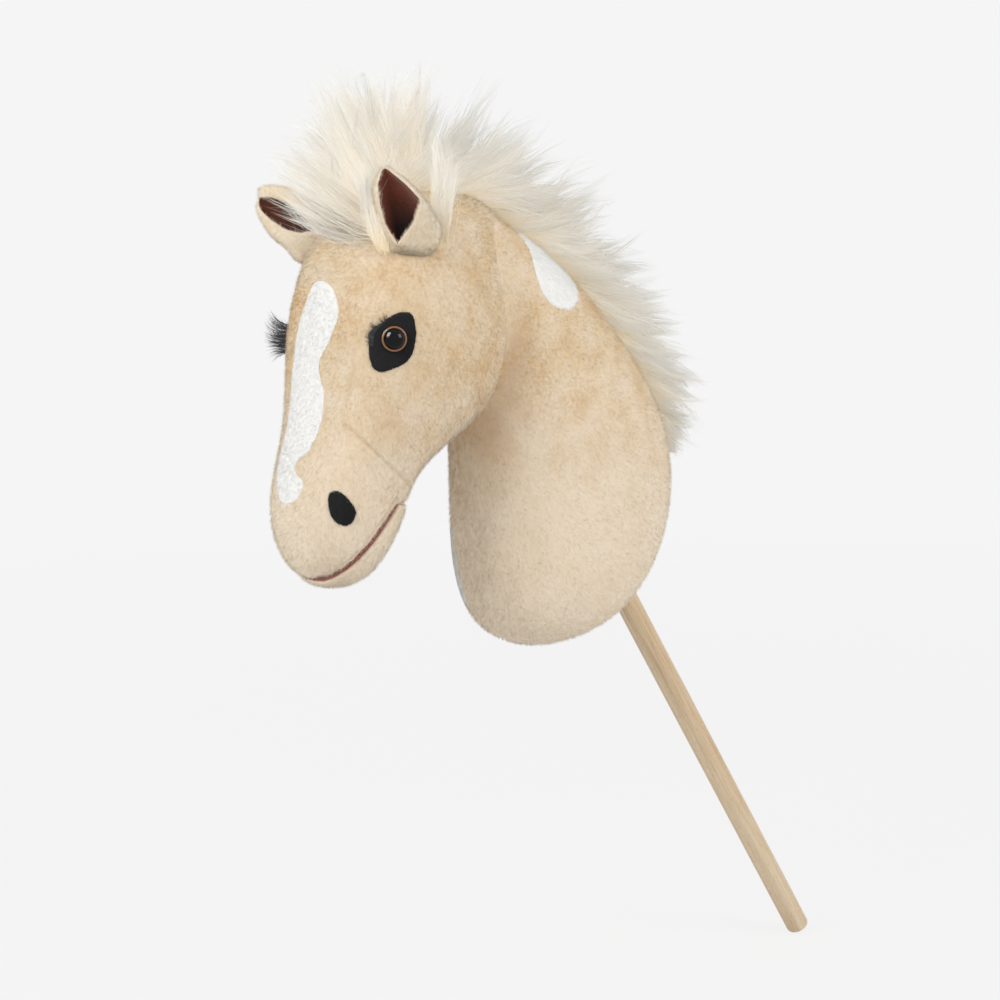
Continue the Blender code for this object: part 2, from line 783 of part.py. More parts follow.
def add_mane():
    """A knitted strip along the crest, and the long hair that stands on it."""
    crest = side_prism(MANE_CREST, -MANE_BACKING_HALF_WIDTH, MANE_BACKING_HALF_WIDTH)
    backing = within(cut(body_form(GAP + BACKING_THICK), body_form(GAP)), crest)
    finish(backing, "mane_backing", KNIT)
    mane = cut(mane_mass(0.0), body_form(GAP + BACKING_THICK + GAP))
    cut(mane, grown_copy("ear_left", 2 * GAP), grown_copy("ear_right", 2 * GAP))
    finish(mane, "mane", LONG_HAIR)


def add_forelock():
    """Locks between the ears that fall over the forehead."""
    bm = bmesh.new()
    size = Matrix.Diagonal(Vector((*FORELOCK_HALF_SIZE, 1.0)) * MM)
    size[3][3] = 1.0
    place = Matrix.Translation(spot(*FORELOCK_CENTRE))
    bmesh.ops.create_icosphere(bm, subdivisions=2, radius=1.0, matrix=place @ size)
    forelock = object_of("forelock", bm)
    for root, tip in FORELOCK_LOCKS:
        join(forelock, lock(spot(*root), spot(*tip), spot(0, 6, 10), FORELOCK_LOCK_RADII))
    cut(forelock, body_form(GAP + BACKING_THICK + GAP), mane_mass(2 * GAP))
    for name in ("ear_left", "ear_right", "ear_lining_left", "ear_lining_right"):
        cut(forelock, grown_copy(name, 2 * GAP))
    finish(forelock, "forelock", LONG_HAIR)


def add_tab():
    thick, out, tall = TAB_SIZE
    forward, up = TAB_AT
    outline = (
        (forward - out / 2, up - tall / 2),
        (forward + out / 2, up - tall / 2),
        (forward + out / 2, up + tall / 2),
        (forward - out / 2, up + tall / 2),
    )
    tab = cut(side_prism(outline, -thick / 2, thick / 2), neck_form(GAP))
    finish(tab, "seam_tab", TAPE)


def main():
    for old in list(bpy.data.objects):
        bpy.data.objects.remove(old)
    for name in ("hobby_horse", "cutters"):
        holder = bpy.data.collections.new(name)
        bpy.context.scene.collection.children.link(holder)
    add_stick()
    add_socket()
    add_neck()
    add_head()
    add_jaw()
    add_sewn_pieces()
    add_eyes()
    add_lashes()
    add_ears()
    add_mane()
    add_forelock()
    add_tab()


main()
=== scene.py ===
import math
from collections import namedtuple

import bmesh
import bpy
import numpy as np
from mathutils import Matrix, Vector, noise
from mathutils.bvhtree import BVHTree
from mathutils.kdtree import KDTree


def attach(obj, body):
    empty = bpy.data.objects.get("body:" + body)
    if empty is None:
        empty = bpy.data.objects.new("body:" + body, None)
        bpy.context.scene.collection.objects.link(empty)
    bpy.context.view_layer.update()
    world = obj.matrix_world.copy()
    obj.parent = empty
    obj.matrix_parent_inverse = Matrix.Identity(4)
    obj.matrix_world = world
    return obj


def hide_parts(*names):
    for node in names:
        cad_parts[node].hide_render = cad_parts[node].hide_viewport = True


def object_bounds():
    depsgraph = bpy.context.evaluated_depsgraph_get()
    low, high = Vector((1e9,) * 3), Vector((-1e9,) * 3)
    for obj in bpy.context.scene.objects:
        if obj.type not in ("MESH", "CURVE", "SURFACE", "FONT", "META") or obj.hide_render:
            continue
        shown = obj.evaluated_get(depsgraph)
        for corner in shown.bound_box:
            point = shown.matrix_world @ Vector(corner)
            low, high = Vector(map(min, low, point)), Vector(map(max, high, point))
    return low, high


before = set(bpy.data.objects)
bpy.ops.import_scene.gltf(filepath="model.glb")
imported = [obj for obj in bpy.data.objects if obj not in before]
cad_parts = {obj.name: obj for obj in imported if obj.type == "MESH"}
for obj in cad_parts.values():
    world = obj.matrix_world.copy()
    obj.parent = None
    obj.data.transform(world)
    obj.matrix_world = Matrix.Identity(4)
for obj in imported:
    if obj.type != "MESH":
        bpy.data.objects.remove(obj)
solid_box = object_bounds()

# Lengths below are in millimetres and turned to metres as points are made.
# A place is given as (left, forward, up) from the stick's foot.
MM = 0.001

# The stick leans forward from its foot
STICK_LEAN = math.radians(32.6)
STICK_RADIUS = 9.0
STICK_LENGTH = 600.0
STICK_HOLE_RADIUS = 9.6
STICK_HOLE_REACH = (320, 400)

# Cross-sections of the stuffed forms: front and back point, half width, how much the back
# narrows, and how boxy the front is
Section = namedtuple("Section", "front back half_width taper flat", defaults=(0.0, 2.0))
RING_POINTS = 12
RING_SWELL = 1 / (2 / 3 + math.cos(math.tau / RING_POINTS) / 3)
FORM_LEVELS = 4

HEAD_SECTIONS = (
    Section((400, 586), (352, 590), 18),
    Section((422, 578), (322, 585), 42, 0.1, 2.2),
    Section((441, 558), (300, 564), 57, 0.2, 2.8),
    Section((452, 530), (288, 530), 65, 0.3, 3.2),
    Section((458, 497), (287, 485), 68, 0.35, 3.4),
    Section((461, 465), (306, 448), 66, 0.35, 3.2),
    Section((465, 435), (343, 423), 59, 0.3, 2.8),
    Section((474, 408), (379, 402), 52, 0.1, 2.5),
    Section((481, 382), (388, 378), 50, 0.0, 2.5),
    Section((479, 355), (399, 356), 46, 0.0, 2.4),
    Section((468, 333), (413, 335), 34, 0.0, 2.2),
    Section((452, 325), (430, 326), 15),
)
NECK_SECTIONS = (
    Section((286, 266), (254, 267), 16),
    Section((315, 277), (211, 278), 42),
    Section((331, 301), (178, 306), 58),
    Section((339, 336), (157, 343), 62),
    Section((340, 380), (150, 386), 62),
    Section((343, 424), (160, 430), 59),
    Section((354, 462), (186, 472), 55),
    Section((372, 494), (234, 523), 52),
    Section((390, 520), (284, 561), 50),
    Section((400, 545), (335, 586), 43),
    Section((402, 560), (366, 592), 26),
)

# The slit between the muzzle and the lower jaw, seen from the side
JAW_FOLD = (389.0, 377.0)
MOUTH_CORNER = (413.0, 381.0)
MOUTH_FRONT = (496.5, 284.0)
# The lining ends just behind the corner of the mouth
LINING_ENDS_AT = 404
# Two corners under the jaw, and a distance past the sides of the head, for shapes that cut it
BELOW_JAW = ((500, 250), (340, 250))
PAST_HEAD = 90

# Sewn shapes, seen from the side as (forward, up) and from the front as (left, up)
EYE_PATCH = (
    (423, 508.3), (416.2, 507.5), (413.4, 500), (413.8, 489), (418.5, 478), (428, 472.6),
    (438, 471.3), (441.2, 478), (441.6, 489), (440.8, 495.5), (434, 502),
)
NOSTRIL = (
    (461.5, 394), (464, 386), (461, 375), (454, 372), (449, 379), (453, 388),
)
NECK_SPOT = (
    (302, 561), (304, 548), (304, 531), (297, 515), (282, 508), (268, 511), (259, 521), (260, 532),
    (273, 545), (289, 556),
)
BLAZE = (
    (0, 528), (27, 512), (23, 490), (15, 476), (22, 452), (16, 420), (5, 408), (17, 396), (2, 383),
    (-19, 399), (-20, 438), (-20, 480), (-10, 515),
)
WHITE_BIB = (
    (-17, 354), (-13, 342), (-10, 326), (-10, 312), (-13, 301), (-22, 294), (-34, 298), (-42, 320),
    (-40, 342), (-28, 356),
)

# Seams and folds of the cloth: how deep, how wide and how much painted shade each gets, part of it the
# darker roots where the pile parts, and the places that it runs through
Crease = namedtuple("Crease", "depth width shade places")
FACE_SEAM = Crease(
    0.2, 1.2, 0.2, (
        (50, 423, 548), (51.5, 431, 534), (50, 440, 519), (45, 447, 503), (44, 451, 488),
        (44, 452, 471), (42, 454, 459), (40, 456, 448), (40, 457, 433),
    ),
)
MUZZLE_SEAM = Crease(
    1.0, 1.2, 0.3, (
        (40, 457, 437), (45, 453, 433), (51, 443, 423), (54, 431, 412), (51, 417, 402),
        (45, 406, 396), (38, 398, 392),
    ),
)
CHEEK_FOLD = Crease(
    0.5, 2.4, 0.08, (
        (60, 425, 447), (61, 416, 442), (59, 400, 434), (56, 396, 427), (53, 396, 421),
    ),
)
EAR_FOLD = Crease(
    0.8, 2.4, 0.12, (
        (57, 374, 554), (58, 367, 547), (59, 359, 535), (59, 353, 525), (57, 346, 520),
    ),
)
BROW_FOLD = Crease(
    0.5, 1.6, 0.12, (
        (52, 422, 545), (52, 426, 540), (52, 430, 535), (52, 431, 530),
    ),
)
LIPS = Crease(
    0.6, 1.6, 0.4, (
        (44, 414, 386), (46, 425, 373), (46, 434, 364), (44, 441, 352), (38, 450, 342),
        (30, 458, 333),
    ),
)
HEAD_CREASES = (FACE_SEAM, MUZZLE_SEAM, CHEEK_FOLD, EAR_FOLD, BROW_FOLD, LIPS)
NECK_SEAM = Crease(
    0.8, 1.6, 0.5, (
        (0, 340, 420), (0, 343, 380), (0, 342, 340), (0, 333, 300), (0, 318, 276),
    ),
)
NECK_FOLD = Crease(
    1.2, 5.0, 0.06, (
        (40, 322, 560), (46, 320, 540), (51, 318, 510), (52, 316, 480),
    ),
)
# Not a seam or fold: painted shade where the jowl shadows the throat, with the skin sunk a little
# there
JOWL_SHADE = Crease(
    0.3, 15.0, 0.6, (
        (20, 338, 422), (31, 333, 433), (38, 327, 448), (44, 324, 468), (47, 322, 480),
    ),
)
NECK_CREASES = (NECK_SEAM, NECK_FOLD, JOWL_SHADE)

EYE_AT = (61.1, 428.8, 491.6)
EYE_LOOKS = Vector((0.90, -0.43, 0.04)).normalized()
EYE_RADIUS = 7.0
EYE_RISE = 5.2
EYE_RING_RADIUS = 8.2

# Each ear's cloth in rows from its hidden foot to its tip. A row runs from one edge of the opening
# round the back to the other edge, as (aside, up, out) from the ear's root.
Ear = namedtuple("Ear", "root rows")
EAR_ASIDE = Vector((0.588, 0.809, 0.0))
EAR_UP = Vector((-0.099, 0.072, 0.993))
EAR_OUT = Vector((0.803, -0.583, 0.122))
EAR_AXES = np.array([EAR_ASIDE, EAR_UP, EAR_OUT])
EAR_LEFT = Ear(
    (57.3, 424.1, 551.0),
    (
        ((4, -4, -14), (0, -4, -17), (8, -6, -26), (14, -5, -20), (2.5, -4, -14)),
        ((3, -1, -4), (-2, -2, -14), (11, -3, -22), (20, -3, -15), (1, -1, -4)),
        ((1, 0.5, 0), (-4, 2, -8), (10, 1, -12), (26, 2, -11), (-1, 0.5, 0)),
        ((-7, 12.5, 0), (-8, 13, -7), (8, 14, -13), (26, 13, -10), (9.6, 13.5, 3)),
        ((-10.8, 26, 1), (-11.5, 27, -6), (3, 28, -13), (17, 25.5, -6), (14.6, 27.6, 5)),
        ((-12.2, 38, 1), (-12.8, 38, -4), (-3, 39, -9), (6.5, 38, -4), (4.5, 38.5, 2)),
        ((-9.3, 48, 0), (-9, 48.6, -1), (-8.1, 49, -1.6), (-7.2, 48.8, -1), (-7, 48.3, 0)),
    ),
)
EAR_RIGHT = Ear(
    (-51.0, 407.0, 552.5),
    (
        ((4, -4, -4), (8, 8, -8), (8, -2, -16), (2, -14, -8), (4, -3, -4)),
        ((-6, 2, 6), (6, 18, 0), (2, 6, -14), (-12, -12, -2), (-6, 3.5, 6)),
        ((-12, 7, 8), (-2, 26, 0), (-6, 10, -12), (-21, -12, 0), (-12, 8, 8)),
        ((-18, 18, 9), (-13, 31, 0), (-12, 14, -11), (-28, -1, 0), (-21, 6, 9)),
        ((-30, 27, 8), (-30, 36, 0), (-28, 20, -9), (-37.5, 5.5, 0), (-31, 8.6, 8)),
        ((-40, 30.5, 6), (-40, 37.5, 0), (-40, 25, -6), (-44, 13, 0), (-40.5, 15, 6)),
        ((-46.5, 30.8, 4), (-46.5, 37.4, 0), (-47, 29, -4), (-48.8, 21, 0), (-47.3, 21.3, 4)),
        ((-49.3, 31, 2), (-49.3, 36, 0), (-50.3, 31, -1.5), (-50.3, 26, 0), (-49.7, 26.5, 2)),
    ),
)

# The line that the mane is sewn along, from the poll to the withers, as (forward, up)
CREST = (
    (430, 580), (405, 590), (372, 594), (338, 590), (304, 576), (272, 552), (242, 522), (214, 488),
    (190, 455), (170, 425), (158, 405),
)

# Which way the pile lies, as (left, back, up)
DOWN_FACE = (0, -0.2, -1.0)
DOWN_NECK = (0, 0.6, -0.8)
DOWN_CHEST = (0, 0.1, -1.0)


def spot(left, forward, up):
    return Vector((left, -forward, up)) * MM


def at(place, left=0.0):
    return spot(left, *place)


def place_in_scene(name, data):
    piece = bpy.data.objects.new(name, data)
    bpy.context.scene.collection.objects.link(piece)
    return piece


def new_piece(name, bm):
    mesh = bpy.data.meshes.new(name)
    bm.to_mesh(mesh)
    bm.free()
    return place_in_scene(name, mesh)


def drop(*pieces):
    for piece in pieces:
        bpy.data.objects.remove(piece)


def settle(piece):
    """Applies the piece's modifiers, and makes a curve a mesh."""
    bpy.context.view_layer.update()
    graph = bpy.context.evaluated_depsgraph_get()
    mesh = bpy.data.meshes.new_from_object(piece.evaluated_get(graph))
    if piece.type == "MESH":
        piece.modifiers.clear()
        piece.data = mesh
        return piece
    solid = place_in_scene(piece.name, mesh)
    solid.matrix_world = piece.matrix_world
    drop(piece)
    return solid


def modify(piece, kind, **settings):
    step = piece.modifiers.new(kind.lower(), kind)
    for key, value in settings.items():
        setattr(step, key, value)
    return step


def subdivide(piece, levels):
    modify(piece, "SUBSURF", levels=levels, render_levels=levels)
    return settle(piece)


def combine(piece, tool, operation):
    modify(piece, "BOOLEAN", operation=operation, solver="EXACT", object=tool)
    settle(piece)
    drop(tool)
    return piece


def clean(piece, weld=0.00001):
    bm = bmesh.new()
    bm.from_mesh(piece.data)
    bmesh.ops.remove_doubles(bm, verts=bm.verts, dist=weld)
    bmesh.ops.recalc_face_normals(bm, faces=bm.faces)
    bm.to_mesh(piece.data)
    bm.free()
    return piece


def thicken(piece, thickness):
    modify(piece, "SOLIDIFY", thickness=thickness * MM, offset=0.0)
    return clean(settle(piece))


def dress(piece, look, body, slot, *nodes):
    """Gives a finished piece its material and its body, and hides the nodes it stands for. Its slot is
    not used.
    """
    piece.data.materials.clear()
    piece.data.materials.append(look)
    if not piece.data.has_custom_normals:
        piece.data.shade_smooth()
    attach(piece, body)
    if piece.data.has_custom_normals:
        piece.visible_shadow = False
    if nodes:
        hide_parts(*nodes)
    return piece


# Stuffed forms

def section_ring(bm, section, grow):
    front, back = at(section.front), at(section.back)
    middle, reach = (front + back) / 2, (front - back) / 2
    reach = reach.normalized() * (reach.length + grow * MM) * RING_SWELL
    wide = (section.half_width + grow) * MM * RING_SWELL
    ring = bmesh.ops.create_circle(bm, cap_ends=False, segments=RING_POINTS, radius=1.0)["verts"]
    for vert in ring:
        across, ahead = vert.co.x, vert.co.y
        if ahead > 0:
            across = math.copysign(abs(across) ** (2 / section.flat), across)
            ahead = ahead ** (2 / section.flat)
        vert.co = middle + reach * ahead
        vert.co.x = wide * across * (1 + section.taper * min(ahead, 0))
    return ring


def ring_edges(ring):
    members = set(ring)
    edges = {edge for vert in ring for edge in vert.link_edges}
    return [edge for edge in edges if edge.other_vert(edge.verts[0]) in members]


def stuffed_form(name, sections, grow):
    """The smooth stuffed shape through the sections, its surface moved out by grow."""
    bm = bmesh.new()
    loops = [ring_edges(section_ring(bm, section, grow)) for section in sections]
    for below, above in zip(loops, loops[1:]):
        bmesh.ops.bridge_loops(bm, edges=below + above)
    bmesh.ops.holes_fill(bm, edges=bm.edges, sides=RING_POINTS)
    bmesh.ops.recalc_face_normals(bm, faces=bm.faces)
    return subdivide(new_piece(name, bm), FORM_LEVELS)


def outline_slab(name, outline, low, high, smooth):
    """The outline as a flat slab between two heights along its own Z."""
    curve = bpy.data.curves.new(name, "CURVE")
    curve.dimensions = "2D"
    curve.fill_mode = "BOTH"
    curve.extrude = (high - low) / 2 * MM
    curve.resolution_u = 10 if smooth else 1
    spline = curve.splines.new("BEZIER")
    spline.bezier_points.add(len(outline) - 1)
    for knot, point in zip(spline.bezier_points, outline):
        knot.co = (point[0] * MM, point[1] * MM, 0)
        knot.handle_left_type = knot.handle_right_type = "AUTO" if smooth else "VECTOR"
    spline.use_cyclic_u = True
    slab = place_in_scene(name, curve)
    slab.location.z = (high + low) / 2 * MM
    slab = settle(slab)
    slab.name = name
    slab.data.transform(slab.matrix_world)
    slab.matrix_world = Matrix.Identity(4)
    return clean(slab)


# Turns a slab drawn as (forward, up), or as (left, up), to face the horse's left or its front
FROM_SIDE = Matrix(((0, 0, 1, 0), (-1, 0, 0, 0), (0, 1, 0, 0), (0, 0, 0, 1)))
FROM_FRONT = Matrix(((1, 0, 0, 0), (0, 0, -1, 0), (0, 1, 0, 0), (0, 0, 0, 1)))


def side_slab(name, outline):
    """A slab through the whole head, its outline drawn as seen from the side."""
    slab = outline_slab(name, outline, -PAST_HEAD, PAST_HEAD, False)
    slab.data.transform(FROM_SIDE)
    return clean(slab)


def jaw_region(grow, tuck=0.0):
    """The lower jaw's room from the side. Its upper edge is the slit, moved up by grow.

    tuck lifts its rear corner into the head, as sewn cloth folds in.
    """
    along = (Vector(MOUTH_FRONT) - Vector(MOUTH_CORNER)).normalized()
    out = Vector((-along.y, along.x)) * grow
    fold = Vector(JAW_FOLD) + Vector((-0.3, 0.95)) * (grow + tuck)
    corner = Vector(MOUTH_CORNER) + out + Vector((-0.35, 0.4)) * grow + Vector((0, 0.35)) * tuck
    front = Vector(MOUTH_FRONT) + out
    behind = fold + Vector(JAW_FOLD) - Vector(MOUTH_CORNER)
    return side_slab(
        "jaw_region", (tuple(corner), tuple(front), *BELOW_JAW, tuple(behind), tuple(fold))
    )


def throat_region():
    """The room behind the corner of the mouth, where the plush is folded and has no lining."""
    front, back = LINING_ENDS_AT, BELOW_JAW[1][0]
    return side_slab("throat_region", ((front, 420), (front, 240), (back, 240), (back, 420)))


def remesh(piece, voxel, smoothing):
    modify(piece, "REMESH", mode="VOXEL", voxel_size=voxel * MM, use_smooth_shade=True)
    settle(piece)
    modify(piece, "SMOOTH", factor=0.5, iterations=smoothing)
    return settle(piece)


def point_values(mesh, kind):
    """The places ("co") or the slopes ("normal") of a mesh's points."""
    values = np.empty(len(mesh.vertices) * 3, np.float32)
    mesh.vertices.foreach_get(kind, values)
    return values.reshape(-1, 3)


def places_of(piece):
    return point_values(piece.data, "co").astype(float)


def put_places(piece, points):
    piece.data.vertices.foreach_set("co", np.asarray(points, np.float32).reshape(-1))
    piece.data.update()


def normals_of(piece):
    return point_values(piece.data, "normal").astype(float)


# A skin this far above or below a crease, along its own slope, still counts as on it
SINK_LIMIT = 4.5


def nearness(points, crease, normals=None):
    """How near each point is to a crease on either side of the horse: 1 on it, 0 far away.

    With normals, a skin that lies a little above or below the crease still counts as on it.
    """
    line = np.array([spot(*place) for place in crease.places])
    side = np.where(points[:, :1] < 0, np.array([[-1.0, 1.0, 1.0]]), 1.0)
    folded = points * side
    best = np.full(len(points), 1e9)
    for start, end in zip(line, line[1:]):
        reach = end - start
        share = np.clip((folded - start) @ reach / (reach @ reach), 0, 1)[:, None]
        gap = folded - start - share * reach
        if normals is not None:
            facing = normals * side
            sunk = (gap * facing).sum(1, keepdims=True)
            gap = gap - facing * np.clip(sunk, -SINK_LIMIT * MM, SINK_LIMIT * MM)
        best = np.minimum(best, np.linalg.norm(gap, axis=1))
    return np.exp(-((best / (crease.width * MM)) ** 2))


def keep_values(mesh, name, values):
    """Stores a number at each point of a mesh, for its material to read."""
    layer = mesh.attributes.new(name, "FLOAT", "POINT")
    layer.data.foreach_set("value", np.asarray(values, np.float32))


def creased(points, creases, normals=None, trait="shade"):
    """How much painted shade the seams and folds give each point, or how deep they are there."""
    near = [nearness(points, crease, normals) * getattr(crease, trait) for crease in creases]
    return np.max(near, axis=0)


def carve(piece, creases):
    """Sinks the seams and folds into a stuffed skin, and keeps at each point how much painted shade
    they give it.
    """
    points, normals = places_of(piece), normals_of(piece)
    depth = creased(points, creases, normals, "depth")
    put_places(piece, points - normals * depth[:, None] * MM)
    keep_values(piece.data, "crease", creased(points, creases, normals))
    return piece


# A skin lies this far under the tips of its pile, and stuffing swells it by this much at most
SKIN_UNDER_PILE = -1.2
STUFFING_SWELL = 2.4

# The pressure in the stuffed cloth and the frames it takes to settle. A seam holds the cloth
# within about SEAM_HOLD of it.
STUFFING_PRESSURE = 4.0
STUFFING_FRAMES = 20
SEAM_HOLD = 5.0
HELD_FROM = 0.3


def stuff(piece, creases):
    """Blows the skin up from a smaller shape as stuffing does, held in along its seams."""
    start = places_of(piece)
    held = creased(start, [Crease(1.0, SEAM_HOLD, 1.0, crease.places) for crease in creases])
    pins = piece.vertex_groups.new(name="seams")
    for index in np.nonzero(held > HELD_FROM)[0]:
        pins.add([int(index)], float(held[index]), "REPLACE")
    cloth = piece.modifiers.new("stuffing", "CLOTH")
    cloth.settings.use_pressure = True
    cloth.settings.uniform_pressure_force = STUFFING_PRESSURE
    cloth.settings.vertex_group_mass = "seams"
    cloth.settings.effector_weights.gravity = 0.0
    cloth.point_cache.frame_start = 1
    cloth.point_cache.frame_end = STUFFING_FRAMES
    for frame_number in range(1, STUFFING_FRAMES + 1):
        bpy.context.scene.frame_set(frame_number)
    settle(piece)
    bpy.context.scene.frame_set(1)
    moved = places_of(piece) - start
    far = np.linalg.norm(moved, axis=1, keepdims=True)
    put_places(piece, start + moved * np.minimum(1, STUFFING_SWELL * MM / np.maximum(far, 1e-9)))
    return piece


def skin_grow():
    """How far out a skin starts: farther in where stuffing is still to swell it."""
    return SKIN_UNDER_PILE - STUFFING_SWELL


# The slit's gap at the head, and how much of the swelling it allows for
LIP_GAP = 0.5
LIP_SWELL = 0.35


def head_skin():
    grow = skin_grow()
    skin = stuffed_form("head_skin", HEAD_SECTIONS, grow)
    combine(skin, jaw_region(LIP_GAP + LIP_SWELL * (SKIN_UNDER_PILE - grow)), "DIFFERENCE")
    remesh(skin, 4.5, 3)
    stuff(skin, [crease for crease in HEAD_CREASES if crease is not LIPS])
    subdivide(skin, 1)
    subdivide(skin, 1)
    return carve(skin, HEAD_CREASES)


# The jaw's skin is gathered at its rear corner, where it is sewn to the throat: above this height
# and behind this place, growing over this far, it is drawn forward and made narrower
GATHER_ABOVE, GATHER_RISE = 345, 30
GATHER_BEHIND, GATHER_RUN = 404, 14
GATHER_FORWARD, GATHER_NARROWER = 5.5, 0.12


def jaw_skin():
    skin = stuffed_form("jaw_skin", HEAD_SECTIONS, SKIN_UNDER_PILE - 1.2)
    combine(skin, jaw_region(-0.1, tuck=3.5), "INTERSECT")
    remesh(skin, 2.0, 3)
    points = places_of(skin)
    high = np.clip((points[:, 2] / MM - GATHER_ABOVE) / GATHER_RISE, 0, 1)
    rear = np.clip((GATHER_BEHIND + points[:, 1] / MM) / GATHER_RUN, 0, 1)
    points[:, 1] -= GATHER_FORWARD * MM * high * rear
    points[:, 0] *= 1 - GATHER_NARROWER * high * rear
    put_places(skin, points)
    return skin


def stick_hole():
    """A rod along the stick that clears its way into the neck."""
    low, high = STICK_HOLE_REACH
    radius = STICK_HOLE_RADIUS * MM
    bm = bmesh.new()
    bmesh.ops.create_cone(
        bm, cap_ends=True, segments=48, radius1=radius, radius2=radius, depth=(high - low) * MM
    )
    bmesh.ops.translate(bm, verts=bm.verts, vec=(0, 0, (high + low) / 2 * MM))
    bmesh.ops.rotate(bm, verts=bm.verts, matrix=Matrix.Rotation(STICK_LEAN, 3, "X"))
    return new_piece("stick_hole", bm)


def neck_skin():
    skin = stuffed_form("neck_skin", NECK_SECTIONS, skin_grow())
    remesh(skin, 5.0, 2)
    stuff(skin, (NECK_SEAM, NECK_FOLD))
    subdivide(skin, 1)
    combine(skin, stick_hole(), "DIFFERENCE")
    return carve(skin, NECK_CREASES)


# Surfaces to plant hair on

def tree_of(piece):
    bm = bmesh.new()
    bm.from_mesh(piece.data)
    tree = BVHTree.FromBMesh(bm)
    bm.free()
    return tree


def inside(tree, point, slack=0.0):
    """Whether the point is inside the closed surface, or nearer to it than slack."""
    place, normal, _, distance = tree.find_nearest(point)
    deep = (point - place).dot(normal)
    return deep < 0 or distance < slack


def scatter(piece, count, rng):
    """Even random points on a piece, with the surface's normal at each."""
    mesh = piece.data
    mesh.calc_loop_triangles()
    corners = np.empty(len(mesh.loop_triangles) * 3, np.int32)
    mesh.loop_triangles.foreach_get("vertices", corners)
    corners = corners.reshape(-1, 3)
    points, normals = point_values(mesh, "co")[corners], point_values(mesh, "normal")[corners]
    area = np.linalg.norm(np.cross(points[:, 1] - points[:, 0], points[:, 2] - points[:, 0]), axis=1)
    chosen = rng.choice(len(area), count, p=area / area.sum())
    weights = rng.dirichlet((1, 1, 1), count)[:, :, None]
    normal = (normals[chosen] * weights).sum(1)
    normal /= np.linalg.norm(normal, axis=1, keepdims=True)
    return (points[chosen] * weights).sum(1), normal


STRAND_SIDES = 3
# The margin left round each strand in its cell of the map
CELL_EDGE = 0.1


def strand_pattern(rings):
    """One closed tapering strand along Z from 0 to 1: its points and its triangles."""
    bm = bmesh.new()
    bmesh.ops.create_cone(bm, cap_ends=True, segments=STRAND_SIDES, radius1=1, radius2=0, depth=1)
    bmesh.ops.remove_doubles(bm, verts=bm.verts, dist=0.0001)
    bmesh.ops.translate(bm, verts=bm.verts, vec=(0, 0, 0.5))
    if rings:
        rising = [edge for edge in bm.edges if abs(edge.verts[0].co.z - edge.verts[1].co.z) > 0.5]
        bmesh.ops.subdivide_edges(bm, edges=rising, cuts=rings)
    bmesh.ops.triangulate(bm, faces=bm.faces)
    bmesh.ops.recalc_face_normals(bm, faces=bm.faces)
    bm.verts.index_update()
    points = np.array([vert.co for vert in bm.verts])
    faces = np.array([[vert.index for vert in face.verts] for face in bm.faces])
    bm.free()
    return points, faces


def unit(vectors):
    return vectors / np.maximum(np.linalg.norm(vectors, axis=-1, keepdims=True), 1e-9)


def strand_skins(lines, widths, pattern, rng):
    """Where the points of each strand lie, round its line."""
    count, knots = lines.shape[:2]
    place = np.minimum(np.round(pattern[:, 2] * (knots - 1)).astype(int), knots - 1)
    heading = unit(np.gradient(lines, axis=1))
    aside = unit(np.cross(heading, unit(rng.normal(size=(count, 1, 3)))))
    across = np.cross(heading, aside)
    spoke = unit(pattern[:, :2])
    spoke[pattern[:, 2] > 0.999] = 0
    radius = widths[:, place][:, :, None]
    return lines[:, place] + radius * (
        aside[:, place] * spoke[None, :, :1] + across[:, place] * spoke[None, :, 1:]
    )


def strand_mesh(name, points, faces):
    """The strands as one mesh, from the points of each strand and the triangles of one."""
    count, size = points.shape[:2]
    corners = (faces[None] + np.arange(count)[:, None, None] * size).reshape(-1)
    mesh = bpy.data.meshes.new(name)
    mesh.vertices.add(count * size)
    mesh.vertices.foreach_set("co", points.astype(np.float32).reshape(-1))
    mesh.loops.add(len(corners))
    mesh.loops.foreach_set("vertex_index", corners.astype(np.int32))
    mesh.polygons.add(count * len(faces))
    mesh.polygons.foreach_set("loop_start", np.arange(0, len(corners), 3, dtype=np.int32))
    mesh.update(calc_edges=True)
    return mesh


def map_strands(mesh, count, pattern, faces):
    """Gives each strand its own small cell of the map, so that a bake keeps its colours."""
    grid = math.ceil(math.sqrt(count))
    turn = np.arctan2(pattern[:, 1], pattern[:, 0]) / math.tau % 1.0
    cell = CELL_EDGE + (1 - 2 * CELL_EDGE) * np.stack([turn, pattern[:, 2]], 1)[faces.reshape(-1)]
    home = np.stack([np.arange(count) % grid, np.arange(count) // grid], 1)
    places = ((home[:, None] + cell[None]) / grid).astype(np.float32)
    mesh.uv_layers.new(name="OFBake").data.foreach_set("uv", places.reshape(-1))


def plant(name, lines, widths, rng, coats, crease=None, tint=None, ruffle=0.22):
    """Many strands as one mesh. lines holds each strand's points, widths its radii there.

    coats is the way the whole coat faces at each strand, which the strand is shaded by.
    """
    count = len(lines)
    pattern, faces = strand_pattern(lines.shape[1] - 2)
    mesh = strand_mesh(name, strand_skins(lines, widths, pattern, rng), faces)
    tint = rng.random(count) if tint is None else tint
    crease = np.zeros(count) if crease is None else crease
    keep_values(mesh, "along", np.tile(pattern[:, 2], count))
    keep_values(mesh, "tint", np.repeat(tint, len(pattern)))
    map_strands(mesh, count, pattern, faces)
    # crease is how much painted shade a seam or fold gives each strand
    keep_values(mesh, "crease", np.repeat(crease, len(pattern)))
    facing = unit(coats + rng.normal(size=coats.shape) * ruffle)
    mesh.normals_split_custom_set_from_vertices(np.repeat(facing, len(pattern), 0))
    return place_in_scene(name, mesh)


# Materials

def linear(colour):
    channels = [int(colour[i : i + 2], 16) / 255 for i in (0, 2, 4)]
    return (*[c / 12.92 if c <= 0.04045 else ((c + 0.055) / 1.055) ** 2.4 for c in channels], 1)


